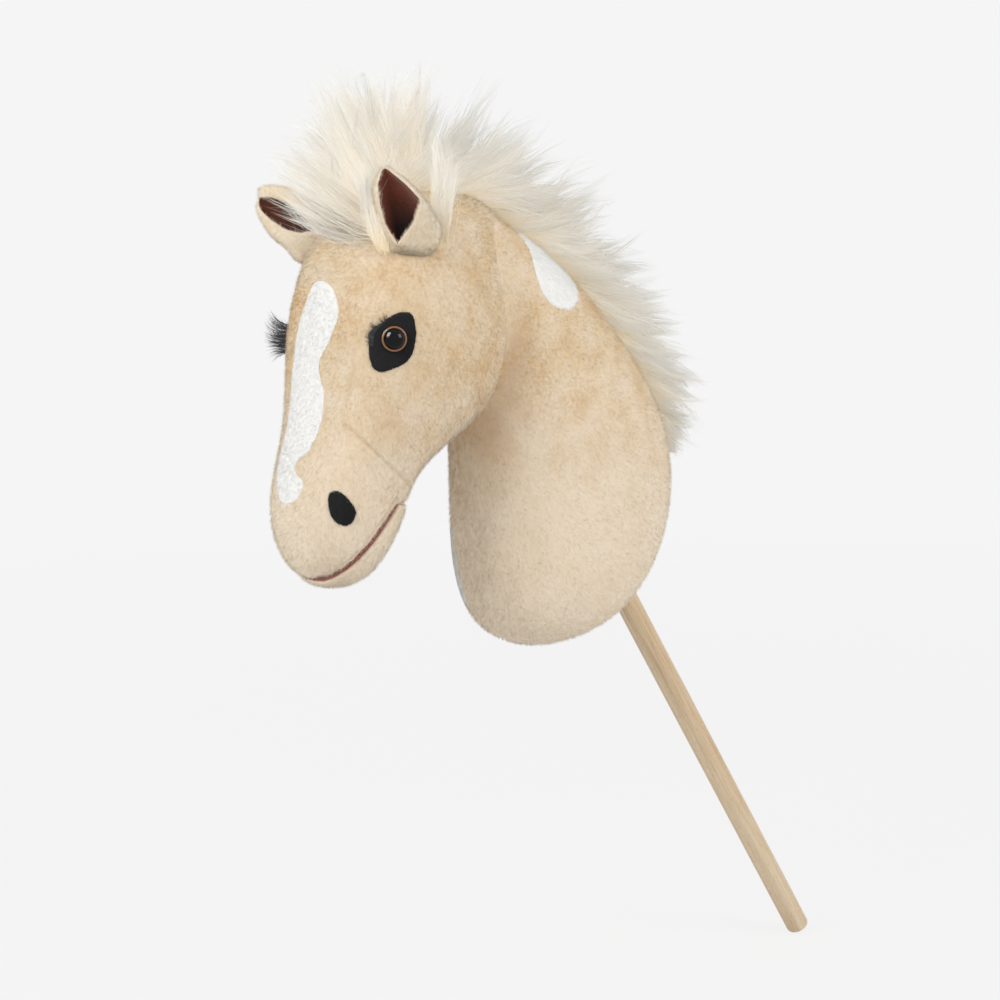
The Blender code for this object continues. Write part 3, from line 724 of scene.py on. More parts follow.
def put_input(tree, socket, value):
    """Links or sets a shader's input. A string is a hex colour."""
    if isinstance(value, bpy.types.NodeSocket):
        tree.links.new(value, socket)
    else:
        socket.default_value = linear(value) if isinstance(value, str) else value


def add(tree, kind, inputs=(), **settings):
    """Adds a shader node with its settings, and sets or links its inputs."""
    made = tree.nodes.new("ShaderNode" + kind)
    for key, value in settings.items():
        setattr(made, key, value)
    for key, value in dict(inputs).items():
        put_input(tree, made.inputs[key], value)
    return made


def ramp(tree, factor, *stops):
    """A colour ramp with a hex colour at each place."""
    made = add(tree, "ValToRGB", {"Fac": factor})
    elements = made.color_ramp.elements
    while len(elements) < len(stops):
        elements.new(0.5)
    for element, (place, colour) in zip(elements, stops):
        element.position = place
        element.color = linear(colour)
    return made.outputs["Color"]


def calc(tree, operation, *values, **settings):
    return add(tree, "Math", dict(enumerate(values)), operation=operation, **settings).outputs[0]


def ranged(tree, value, start, end, low=0.0, high=1.0):
    """Goes from low to high while the value goes from start to end."""
    limits = {"From Min": start, "From Max": end, "To Min": low, "To Max": high}
    return add(tree, "MapRange", {"Value": value, **limits}).outputs["Result"]


def speckle(tree, where, scale, detail=2.0):
    return add(tree, "TexNoise", {"Vector": where, "Scale": scale, "Detail": detail}).outputs["Fac"]


def stored(tree, name):
    """A number that keep_values stored at the mesh's points."""
    return add(tree, "Attribute", attribute_name=name).outputs["Fac"]


def own_space(tree):
    return add(tree, "TexCoord").outputs["Object"]


def mix(tree, factor, one, other, blend="MIX"):
    inputs = {0: factor, 6: one, 7: other}
    return add(tree, "Mix", inputs, data_type="RGBA", blend_type=blend).outputs[2]


def roughen(tree, shader, height, strength, distance):
    rise = add(tree, "Bump", {"Height": height, "Strength": strength, "Distance": distance})
    tree.links.new(rise.outputs["Normal"], shader.inputs["Normal"])


def blank(name, **values):
    """A Principled material with values on the shader's own sockets."""
    made = bpy.data.materials.new(name)
    made.use_nodes = True
    tree = made.node_tree
    shader = tree.nodes["Principled BSDF"]
    for key, value in values.items():
        put_input(tree, shader.inputs[key.replace("_", " ")], value)
    return made, tree, shader


# The plush is mottled in patches and in a finer grain, which shows where the pile is rubbed
PATCH_SIZE = 26.0
GRAIN_SIZE = 2.2
RUBBED_SIZE = 55.0
# It grows paler below this height, and is palest from the second one down, in metres
PALER_BELOW, PALEST_BELOW = 0.47, 0.37


def mottled(tree, where, deep, coat, pale):
    patches = speckle(tree, where, 1 / (PATCH_SIZE * MM), 3.0)
    grain = speckle(tree, where, 1 / (GRAIN_SIZE * MM), 3.0)
    rubbed = speckle(tree, where, 1 / (RUBBED_SIZE * MM), 1.0)
    often = ranged(tree, rubbed, 0.4, 0.62, 0.25, 0.6)
    return ramp(tree, mix(tree, often, patches, grain), (0.35, deep), (0.49, coat), (0.62, pale))


def pile_material(name, root, deep, coat, pale, sheen, lower_colour):
    """Short knitted plush: dyed acrylic pile, matt, mottled where it lies different ways.

    It is paler on the muzzle and low on the neck, towards the lower colour.
    """
    made, tree, shader = blank(
        name, Roughness=0.95, Specular_IOR_Level=0.05, Sheen_Weight=0.3, Sheen_Roughness=0.5
    )
    put_input(tree, shader.inputs["Sheen Tint"], sheen)
    where = own_space(tree)
    height = add(tree, "SeparateXYZ", {0: where}).outputs["Z"]
    lower_share = ranged(tree, height, PALER_BELOW, PALEST_BELOW, 0.0, 0.7)
    body = mix(tree, lower_share, mottled(tree, where, deep, coat, pale), lower_colour)
    # Painted shade deep in the pile: each fibre is darker towards its root, and the bare skin under
    # the pile is as dark as a root
    risen = ranged(tree, stored(tree, "along"), 0.0, 0.9)
    shaded_at_roots = mix(tree, risen, mix(tree, 0.25, body, root), body)
    # Painted shade in the seams and folds, where the pile also parts: towards the root colour times
    # the deep one
    parting_and_shade = calc(tree, "MULTIPLY", stored(tree, "crease"), 0.55)
    parted_and_shaded = mix(tree, parting_and_shade, shaded_at_roots, mix(tree, 1.0, root, deep, "MULTIPLY"))
    dyed = ranged(tree, stored(tree, "tint"), 0.0, 1.0, 0.88, 1.06)
    tree.links.new(mix(tree, 1.0, parted_and_shaded, dyed, "MULTIPLY"), shader.inputs["Base Color"])
    return made


def long_hair_material(name, root, middle, tip):
    """Acrylic fake fur: warm cream at the root, paler and greyer towards the tips."""
    made, tree, shader = blank(
        name, Roughness=0.55, Specular_IOR_Level=0.35, Sheen_Weight=0.12, Sheen_Roughness=0.5
    )
    tint = stored(tree, "tint")
    uneven = calc(tree, "MULTIPLY_ADD", tint, 0.3, -0.15)
    place = calc(tree, "ADD", stored(tree, "along"), uneven, use_clamp=True)
    colour = ramp(tree, place, (0.0, root), (0.35, middle), (0.8, tip))
    dyed = ranged(tree, tint, 0.0, 1.0, 0.93, 1.04)
    tree.links.new(mix(tree, 1.0, colour, dyed, "MULTIPLY"), shader.inputs["Base Color"])
    return made


def cloth_material(name, dark, light, thread_mm, bump=0.4, shade=None, sheen=0.3):
    """Felt and other flat cloth: short tangled fibres give a fine, even fleck."""
    made, tree, shader = blank(name, Roughness=0.95, Specular_IOR_Level=0.2, Sheen_Weight=sheen)
    fleck = speckle(tree, own_space(tree), 1 / (thread_mm * MM), 4.0)
    colour = ramp(tree, fleck, (0.35, dark), (0.65, light))
    # With shade given, the colour darkens towards it by the mesh's "deep" value: painted shade in a
    # hollow
    if shade:
        colour = mix(tree, stored(tree, "deep"), colour, shade)
    tree.links.new(colour, shader.inputs["Base Color"])
    roughen(tree, shader, fleck, bump, 0.0004)
    return made


def wood_material():
    """Beech dowel, sanded and waxed: fine straight grain along the stick with short rays."""
    made, tree, shader = blank("waxed_beech", Roughness=0.5, Specular_IOR_Level=0.4)
    turn = {"Vector": own_space(tree), "Rotation": (-STICK_LEAN, 0, 0)}
    upright = add(tree, "Mapping", turn).outputs[0]
    long = add(tree, "Mapping", {"Vector": upright, "Scale": (1, 1, 0.03)}).outputs[0]
    short = add(tree, "Mapping", {"Vector": upright, "Scale": (1, 1, 0.2)}).outputs[0]
    lines = mix(tree, 0.5, speckle(tree, long, 900.0, 3.0), speckle(tree, long, 160.0))
    base = ramp(tree, lines, (0.35, "B89E7C"), (0.5, "C9B395"), (0.68, "D5C4A8"))
    rays = ramp(tree, speckle(tree, short, 1500.0), (0.62, "FFFFFF"), (0.72, "CDB28E"))
    tree.links.new(mix(tree, 0.6, base, rays, "MULTIPLY"), shader.inputs["Base Color"])
    roughen(tree, shader, lines, 0.15, 0.0002)
    return made


def moulded_material(name, colour, roughness, coat=0.0):
    """Injection-moulded plastic with a faint unevenness from the mould."""
    made, tree, shader = blank(name, Roughness=roughness, Coat_Weight=coat, Coat_Roughness=0.03)
    noise_inputs = {"Vector": own_space(tree), "Scale": 300.0, "Detail": 2.0}
    cloud = add(tree, "TexNoise", noise_inputs).outputs["Color"]
    tree.links.new(mix(tree, 0.04, colour, cloud), shader.inputs["Base Color"])
    return made


# Each pile's colours: the root one, painted shade deep in the pile and in its creases, then deep,
# coat, pale, the sheen's tint and the paler colour low down
PLUSH = pile_material("beige_plush", "C8A678", "D6B68C", "E5D1B3", "EFE1CC", "F6E6CB", "F6ECDC")
EAR_PLUSH = pile_material("pale_ear_plush", "D6BE98", "E4D1B3", "EEE0CA", "F4EBDA", "F6E6CB", "F1E5D3")
WHITE_PLUSH = pile_material("white_plush", "EEEDE8", "F4F4F1", "F7F7F4", "FAFAF8", "FFFFFF", "F8F8F5")
LONG_HAIR = long_hair_material("ivory_fake_fur", "EFDAB4", "EADFCC", "E6E2D8")
# The velour's last colour is painted shade, for the hollow of an ear
VELOUR = cloth_material("brown_velour", "5C2C1D", "7E4432", 0.5, bump=0.15, shade="0B0504")
FELT = cloth_material("black_felt", "0E0E0F", "1E1E20", 0.6, sheen=0.06)
LINING = cloth_material("rose_lining", "7E4640", "A8665E", 0.8)
KNIT = cloth_material("cream_knit", "D8C3A0", "EADBC0", 1.2)
TAPE = cloth_material("white_tape", "DFDFDA", "F5F5F2", 0.5)
WADDING = cloth_material("polyester_wadding", "E4E1D8", "F6F4EE", 2.0)
LASH = blank("lash_fibre", Roughness=0.7, Base_Color="080708")[0]
WOOD = wood_material()
SOCKET = moulded_material("moulded_socket", "D9D6CE", 0.4)
PUPIL = blank(
    "black_acrylic_eye", Roughness=0.03, IOR=1.45, Specular_IOR_Level=0.25, Base_Color="030203"
)[0]
IRIS = moulded_material("amber_acrylic_ring", "7A4C20", 0.3, 0.3)


# The stuffed skins

def twin_of(piece):
    return place_in_scene("twin", piece.data.copy())


# The neck's cloth rises to meet the head's from this height up, over this far, in metres
MEETS_ABOVE, MEETS_WITHIN = 0.44, 0.06


def meet(neck, head):
    """Fills the hollow above the jowl where the neck's cloth meets the head's, as sewn cloth does."""
    both = combine(twin_of(neck), twin_of(head), "UNION")
    remesh(both, 4.0, 14)
    filled, head_tree = tree_of(both), tree_of(head)
    drop(both)
    points = places_of(neck)
    for index, point in enumerate(points):
        raised = min(max((point[2] - MEETS_ABOVE) / MEETS_WITHIN, 0), 1)
        place, outward, _, _ = head_tree.find_nearest(Vector(point))
        off = (Vector(point) - place).dot(outward) / MM
        # A point from 2 mm inside the head's cloth to 6 mm off it moves all the way
        share = raised * min(max((14 - off) / 8, 0), max((off + 5) / 3, 0), 1)
        if share > 0:
            target, normal, _, _ = filled.find_nearest(Vector(point))
            target = target - normal * 0.1 * MM
            points[index] += (np.array(target) - point) * share * share * (3 - 2 * share)
    put_places(neck, points)
    return neck


def fabric_skins():
    head, jaw = head_skin(), jaw_skin()
    neck = meet(neck_skin(), head)
    cheeks = ("cheek_panel_left", "cheek_panel_right", "face_panel")
    dress(head, PLUSH, "head", "plush", *cheeks)
    dress(neck, PLUSH, "head", "plush", "neck_panel_left", "neck_panel_right")
    dress(jaw, PLUSH, "jaw", "plush", "lower_jaw")
    return head, jaw, neck


PILE_LENGTH = 2.8
PILE_RADIUS = 0.13

PILE_ROOT = 0.25
# How upright the pile is, from 0 to 1: on a skin and on a patch
STANDING = (0.55, 0.9)
LYING = (0.35, 0.5)
# How finely the lie of the pile swirls, and how finely it is ruffled into tufts, per metre
SWIRLS = 60
TUFTS = 260


def comb(points, normals, flow, unrest):
    """The way each fibre of the pile leans, with the flow and unsettled in tufts, and its tuft's
    own turn."""
    swirl = np.array([noise.noise_vector(Vector(p) * SWIRLS) for p in points])
    tufts = np.array([noise.noise_vector(Vector(p) * TUFTS) for p in points])
    lean = flow + swirl * unrest * 2 + tufts * unrest * 1.6
    lean -= normals * (lean * normals).sum(1, keepdims=True)
    return unit(lean), tufts


def even_slope(points, skin, nearest=24):
    """The skin's slope near each point, averaged over its nearest places."""
    places, slopes = places_of(skin), normals_of(skin)
    finder = KDTree(len(places))
    for index, place in enumerate(places):
        finder.insert(place, index)
    finder.balance()
    near = np.array([[hit[1] for hit in finder.find_n(Vector(p), nearest)] for p in points])
    return unit(slopes[near].sum(1))


def pile_on(
    piece, name, count, flow, look, slot, seed, body="head", hidden=None, creases=(),
    length=PILE_LENGTH, under=None, unrest=0.22,
):
    """Short fibres over a piece, as its pile, left out where hidden covers it.

    Over a patch they lie flatter, by the slope of the skin under it.
    """
    rng = np.random.default_rng(seed)
    points, normals = scatter(piece, count, rng)
    if under:
        normals = even_slope(points, under)
    if hidden is not None:
        keeps = np.array([not inside(hidden, Vector(p), 0.2 * MM) for p in points])
        points, normals = points[keeps], normals[keeps]
    each = (len(points), 1)
    # How much painted shade the seams and folds give each fibre; the pile is shorter there too
    parting_and_shade = creased(points, creases, normals) if creases else np.zeros(len(points))
    lean, tufts = comb(points, normals, np.array(flow), unrest)
    long = length * MM * rng.uniform(0.7, 1.15, each) * (1 - 0.55 * parting_and_shade[:, None])
    rise = rng.uniform(*(LYING if under else STANDING), each)
    root = points - normals * PILE_ROOT * MM
    tip = points + (normals * rise + lean * np.sqrt(1 - rise**2)) * long
    widths = np.full((len(points), 2), PILE_RADIUS * MM) * rng.uniform(0.8, 1.2, each)
    coats = unit(normals + tufts * unrest)
    ruffle = 0.1 if under else 0.22
    fibres = plant(name, np.stack([root, tip], 1), widths, rng, coats, parting_and_shade, ruffle=ruffle)
    return dress(fibres, look, body, slot)


def joined(pieces):
    bm = bmesh.new()
    for piece in pieces:
        bm.from_mesh(piece.data)
    return new_piece("joined", bm)


def tree_of_all(*pieces):
    crowd = joined(pieces)
    tree = tree_of(crowd)
    drop(crowd)
    return tree


# Sewn-on shapes

# A shape is laid on the skin from this far off, in metres
ABOVE_SKIN = 0.6


def drape(name, outline, facing, skin, low, high, voxel):
    """A flat shape laid on the skin from the side that it faces, as thick as low to high."""
    patch = remesh(outline_slab(name, outline, low, high, True), voxel, 2)
    toward = facing.col[2].to_3d()
    for vert in patch.data.vertices:
        start = facing.to_3x3() @ Vector((vert.co.x, vert.co.y, 0)) + toward * ABOVE_SKIN
        place, normal, _, _ = skin.ray_cast(start, -toward)
        if place is None:
            place, normal, _, _ = skin.find_nearest(start - toward * ABOVE_SKIN)
        vert.co = place + normal * vert.co.z
    return clean(patch)


def mirrored(facing):
    return Matrix.Diagonal((-1, 1, 1, 1)) @ facing


def add_felts(head_tree):
    """The black felt behind the eyes and at the nostrils."""
    felts = []
    for side, facing in (("left", FROM_SIDE), ("right", mirrored(FROM_SIDE))):
        eye = drape(f"eye_felt_{side}", EYE_PATCH, facing, head_tree, -0.4, 1.3, 1.0)
        nostril = drape(f"nostril_felt_{side}", NOSTRIL, facing, head_tree, -0.4, 1.2, 1.0)
        dress(eye, FELT, "head", "black_felt", f"eye_patch_{side}")
        dress(nostril, FELT, "head", "black_felt", f"nostril_{side}")
        felts += [eye, nostril]
    return felts


def add_patches(head, neck, head_tree, neck_tree):
    """The felt and the white plush shapes sewn on the skin, with their pile."""
    felts = add_felts(head_tree)
    whites = []
    for name, node, outline, facing, tree in (
        ("white_blaze", "blaze", BLAZE, FROM_FRONT, head_tree),
        ("neck_star", "neck_spot", NECK_SPOT, FROM_SIDE, neck_tree),
        ("chest_bib", "chest_patch", WHITE_BIB, FROM_FRONT, neck_tree),
    ):
        patch = drape(name, outline, facing, tree, -0.6, 0.3, 0.8)
        whites.append(dress(patch, WHITE_PLUSH, "head", "white_plush", node))
    piles = ((16000, DOWN_FACE, head), (7000, DOWN_NECK, neck), (7000, DOWN_CHEST, neck))
    for seed, patch, (count, flow, skin) in zip((11, 12, 13), whites, piles):
        pile_on(
            patch, f"{patch.name}_pile", count, flow, WHITE_PLUSH, "white_plush", seed,
            length=2.4, under=skin, unrest=0.03,
        )
    for seed, felt in enumerate(felts, 20):
        pile_on(felt, f"{felt.name}_fuzz", 3500, DOWN_CHEST, FELT, "black_felt", seed, length=1.1)
    return felts + whites


def add_linings():
    """The rose cloth that lines each lip, set back from the pile."""
    for name, above, below, body, node in (
        ("upper_lip_lining", 1.3, 0.3, "head", "mouth_lining_upper"),
        ("lower_lip_lining", 0.1, -1.0, "jaw", "mouth_lining_lower"),
    ):
        lining = stuffed_form(name, HEAD_SECTIONS, -5.0)
        combine(lining, jaw_region(above), "INTERSECT")
        combine(lining, jaw_region(below), "DIFFERENCE")
        combine(lining, throat_region(), "DIFFERENCE")
        dress(clean(lining), LINING, body, "mouth_lining", node)


# Ears

def ear_points(ear, round_it, up_it):
    """The ear's cloth at each place round it, from -1 to 1, and up it, from 0 to 1."""
    rows = np.array(ear.rows)
    stages = np.arange(len(rows))
    place = up_it * (len(rows) - 1)
    columns = np.stack([[np.interp(place, stages, rows[:, k, c]) for c in range(3)] for k in range(5)])
    bend = np.vander(round_it, 5) @ np.linalg.inv(np.vander(np.linspace(-1, 1, 5), 5))
    return np.array(spot(*ear.root)) + np.einsum("nk,kcn->nc", bend, columns) @ EAR_AXES * MM


def ear_leaf(name, ear, lift, thick, fold=0.0):
    """The ear's cloth, rolled so that it is closed at its foot and open above.

    lift moves it towards the ear's open side, and fold is how much painted shade darkens the middle of
    its hollow towards the foot.
    """
    bm = bmesh.new()
    bmesh.ops.create_grid(bm, x_segments=24, y_segments=30, size=1.0)
    round_it = np.array([vert.co.x for vert in bm.verts])
    up_it = (np.array([vert.co.y for vert in bm.verts]) + 1) / 2
    points = ear_points(ear, round_it, up_it)
    for vert, point in zip(bm.verts, points):
        vert.co = point
    all_ways = {"use_axis_x": True, "use_axis_y": True, "use_axis_z": True}
    for _ in range(4):
        within = [vert for vert in bm.verts if not vert.is_boundary]
        bmesh.ops.smooth_vert(bm, verts=within, factor=0.5, **all_ways)
    bmesh.ops.recalc_face_normals(bm, faces=bm.faces)
    leaf = new_piece(name, bm)
    # Painted shade: the "deep" value darkens the middle of the hollow, most towards the foot
    shaded_middle = np.clip(1.5 - 3.2 * np.abs(round_it + 0.1), 0, 1)
    keep_values(leaf.data, "deep", fold * np.clip((0.82 - up_it) * 3, 0, 1) * shaded_middle)
    normals = normals_of(leaf)
    hollow = points[np.argmin(np.abs(round_it) + np.abs(up_it - 0.6))]
    nearest = np.argmin(np.linalg.norm(places_of(leaf) - hollow, axis=1))
    inward = np.sign(normals[nearest] @ np.array(EAR_OUT))
    put_places(leaf, places_of(leaf) + normals * inward * lift * MM)
    return subdivide(thicken(leaf, thick), 1)


def add_ears():
    # fold is how much painted shade darkens each ear's hollow
    for side, ear, seed, fold in (("left", EAR_LEFT, 31, 0.95), ("right", EAR_RIGHT, 32, 0.3)):
        outer = ear_leaf(f"ear_cloth_{side}", ear, -0.8, 1.4)
        lining = ear_leaf(f"ear_velour_{side}", ear, 0.5, 0.9, fold)
        dress(outer, EAR_PLUSH, "head", "plush", f"ear_{side}")
        dress(lining, VELOUR, "head", "ear_velour", f"ear_lining_{side}")
        along = np.array(ear.rows[-1][2]) - np.array(ear.rows[1][2])
        cover = ear_leaf("cover", ear, 1.0, 3.6)
        pile_on(
            outer, f"ear_pile_{side}", 20000, unit(along @ EAR_AXES), EAR_PLUSH, "plush", seed,
            hidden=tree_of(cover), length=2.6,
        )
        drop(cover)


# Eyes and lashes

def looking(piece, place, direction):
    turn = direction.to_track_quat("Z", "Y").to_matrix().to_4x4()
    piece.data.transform(Matrix.Translation(place) @ turn)
    return piece


def eye_profiles():
    """The eye's dome with its stem and the ring round it, as (radius, height)."""
    dome = [(0, -9.0), (2.3, -9.0), (2.3, -0.2), (EYE_RADIUS, -0.2)]
    for step in range(15):
        turn = math.radians(90 * step / 14)
        dome.append((EYE_RADIUS * math.cos(turn), 0.9 + EYE_RISE * math.sin(turn)))
    middle, wall = EYE_RING_RADIUS - 0.9, 0.9
    ring = []
    for step in range(13):
        turn = math.tau * step / 12
        ring.append((middle + wall * math.cos(turn), 1.0 + 1.2 * math.sin(turn)))
    return dome, ring


def add_eyes(head_tree):
    """Domed black safety eyes with an amber ring, and the lashes sewn in front of them."""
    dome, ring = eye_profiles()
    for sign, side in ((1, "left"), (-1, "right")):
        direction = Vector((EYE_LOOKS.x * sign, EYE_LOOKS.y, EYE_LOOKS.z))
        place = head_tree.find_nearest(spot(EYE_AT[0] * sign, *EYE_AT[1:]))[0] + direction * 1.2 * MM
        eye = looking(turned(f"eye_dome_{side}", dome, 56), place, direction)
        dress(eye, PUPIL, "head", "eye_black", f"eye_{side}")
        rim = looking(turned(f"eye_ring_{side}", ring, 56), place, direction)
        dress(rim, IRIS, "head", "eye_amber", f"eye_rim_{side}")
        add_lashes(sign, side, head_tree)


# Lashes run along their root line from its place numbered first to the one numbered last
Lashes = namedtuple("Lashes", "root first last longest count")
FAR_LASHES = Lashes(
    ((56, 442, 480), (56, 442.5, 485), (56, 442, 491), (56, 440, 497), (58, 434, 503), (60, 428, 507)),
    -0.4, 3.2, 20, 520,
)
NEAR_LASHES = Lashes(
    (
        (55.5, 441.5, 484), (55, 441.5, 490.4), (55, 441, 494.8),
        (56, 438.3, 498.6), (57.5, 434, 502.3), (59, 429.7, 506),
    ),
    0.5, 4.6, 8.5, 320,
)
LASH_TUFTS = 16
LASH_RADII = (0.09, 0.09, 0.075, 0.05, 0.015)


def between(rows, place):
    """What lies at each place along the rows, counted in rows. It goes straight on past the ends."""
    low = np.clip(place.astype(int), 0, len(rows) - 2)
    part = (place - low).reshape(-1, *[1] * (rows.ndim - 1))
    return rows[low] * (1 - part) + rows[low + 1] * part


def add_lashes(sign, side, head_tree):
    lashes = NEAR_LASHES if sign > 0 else FAR_LASHES
    count, longest = lashes.count, lashes.longest
    rng = np.random.default_rng(90)
    root_line = np.array([spot(x * sign, y, z) for x, y, z in lashes.root])
    tuft = rng.integers(0, LASH_TUFTS, count)
    along = np.clip((tuft + rng.normal(0.5, 0.5, count)) / LASH_TUFTS, 0, 1)
    share = lashes.first + along * (lashes.last - lashes.first)
    found = [head_tree.find_nearest(Vector(p)) for p in between(root_line, share)]
    normal = np.array([hit[1] for hit in found])
    root = np.array([hit[0] for hit in found]) + normal * rng.uniform(0.6, 1.6, (count, 1)) * MM
    toss = rng.normal(0, 0.18, (LASH_TUFTS, 3))[tuft] + rng.normal(0, 0.2, (count, 3))
    sweep = unit(np.array([0.1 * sign, -1.0, 0.05]) + normal * 0.35 + toss)
    fall = np.interp(share, (0, 1.5, 3.5, 5), (0.8, 1, 0.9, 0.6))[:, None]
    length = rng.uniform(longest * 0.4, longest, (count, 1)) * fall
    middle = root + (sweep * 0.55 + normal * 0.1) * length * MM
    curl = np.interp(share, (0, 2.5), (-0.15, 0.35))[:, None] * np.array([0, 0, 1.0])
    end = root + (sweep + curl) * length * MM
    lines = through(np.stack([root, middle, end], 1), len(LASH_RADII))
    widths = np.array(LASH_RADII)[None] * MM * rng.uniform(0.8, 1.2, (count, 1))
    hair = plant(f"lash_hair_{side}", lines, widths, rng, normal)
    dress(hair, LASH, "head", "lash_fibre", f"lashes_{side}")


# The stick

def turned(name, profile, steps):
    """A turned solid about Z from (radius, height) points."""
    bm = bmesh.new()
    verts = [bm.verts.new((radius * MM, 0, height * MM)) for radius, height in profile]
    edges = [bm.edges.new(pair) for pair in zip(verts, verts[1:])]
    axis = {"cent": (0, 0, 0), "axis": (0, 0, 1)}
    bmesh.ops.spin(bm, geom=verts + edges, **axis, angle=math.tau, steps=steps, use_merge=True)
    bmesh.ops.remove_doubles(bm, verts=bm.verts, dist=0.000005)
    bmesh.ops.recalc_face_normals(bm, faces=bm.faces)
    return new_piece(name, bm)


def rounded(radius, low, high, edge, steps=5):
    """The profile of a round bar with rounded ends."""
    turns = [math.radians(90 * step / steps) for step in range(steps + 1)]
    flat = radius - edge
    foot = [(flat + edge * math.sin(turn), low + edge - edge * math.cos(turn)) for turn in turns]
    top = [(flat + edge * math.cos(turn), high - edge + edge * math.sin(turn)) for turn in turns]
    return [(0, low), *foot, *top, (0, high)]


def add_stick():
    stick = turned("wooden_stick", rounded(STICK_RADIUS, 0, STICK_LENGTH, 1.5), 64)
    stick.data.transform(Matrix.Rotation(STICK_LEAN, 4, "X"))
    dress(stick, WOOD, "stick", "wood", "stick")
    stick.data.set_sharp_from_angle(angle=math.radians(40))


# Long hair

def crest_line():
    """Points and outward normals along the mane's seam, evenly spaced, as (forward, up)."""
    curve = np.array(CREST, float)
    steps = np.concatenate([[0], np.cumsum(np.linalg.norm(np.diff(curve, axis=0), axis=1))])
    place = np.linspace(0, steps[-1], 200)
    line = np.stack([np.interp(place, steps, curve[:, k]) for k in (0, 1)], 1)
    for _ in range(12):
        line[1:-1] = (line[:-2] + line[1:-1] * 2 + line[2:]) / 4
    tangent = unit(np.gradient(line, axis=0))
    normal = np.stack([tangent[:, 1], -tangent[:, 0]], 1)
    normal *= np.sign(normal @ np.array([-1.0, 1.0]))[:, None]
    return line, normal


def through(points, knots):
    """Smooth curves through a few points each, as that many knots."""
    given = points.shape[1]
    known = np.vander(np.linspace(0, 1, given), given)
    wanted = np.vander(np.linspace(0, 1, knots), given)
    return np.einsum("kj,njc->nkc", wanted @ np.linalg.inv(known), points)


# One strand in seven strays from its lock. Each lock waves by WAVE_SIZE, over WAVE_TURN radians.
STRAYING = 0.14
WAVE_TURN = 6.5
WAVE_SIZE = 2.2


def locks_of_hair(name, guides, per_lock, spread, knots, radius, coats, seed):
    """Strands that follow guide curves in wavy wisps, which gather towards their tips.

    spread is how far they part at the root, half way and at the tip.
    """
    rng = np.random.default_rng(seed)
    lines = np.repeat(through(guides, knots), per_lock, 0)
    coats = np.repeat(coats, per_lock, 0)
    count, locks = len(lines), len(guides)
    away = rng.normal(size=(count, 1, 3))
    stray = rng.normal(size=(count, 1, 3))
    reach = np.repeat(rng.uniform(0.5, 1.4, locks), per_lock)[:, None, None]
    loose = np.where(rng.random((count, 1, 1)) < STRAYING, 1.5, 0.22)
    t = np.linspace(0, 1, knots)[None, :, None]
    wide = np.interp(t, (0, 0.45, 1), spread)
    lines = lines + (away * wide * (1 - 0.8 * t**1.5) + stray * wide * t**1.5 * loose) * reach * MM
    sway = np.repeat(unit(rng.normal(size=(locks, 1, 3))), per_lock, 0)
    phase = np.repeat(rng.uniform(0, math.tau, (locks, 1, 1)), per_lock, 0)
    lines = lines + sway * (np.sin(phase + t * WAVE_TURN) - np.sin(phase)) * t * WAVE_SIZE * MM
    start = lines[:, :1]
    lines = start + (lines - start) * rng.uniform(0.5, 1.08, (count, 1, 1))
    shape = np.interp(np.linspace(0, 1, knots), (0, 0.25, 0.7, 1), (0.8, 1.0, 0.7, 0.12))
    widths = radius * MM * shape[None] * rng.uniform(0.7, 1.25, (count, 1))
    tint = (np.repeat(rng.random(locks), per_lock) + rng.random(count)) / 2
    coats = coats + np.repeat(rng.normal(size=(locks, 3)), per_lock, 0) * 0.13
    return plant(name, lines, widths, rng, coats, tint=tint, ruffle=0.06)


# How the mane lies from the poll to the withers: how far along, the angle above the horizontal of
# its middle and of its sides, in degrees, and its length
MANE_LIE = (
    (0.00, 98, 60, 56),
    (0.12, 87, 22, 63),
    (0.28, 70, -4, 71),
    (0.40, 55, -14, 72),
    (0.52, 42, -20, 69),
    (0.66, 24, -24, 66),
    (0.80, 8, -26, 61),
    (0.90, -5, -30, 42),
    (1.00, -22, -34, 16),
)
MANE_HALF_WIDTH = 15.0


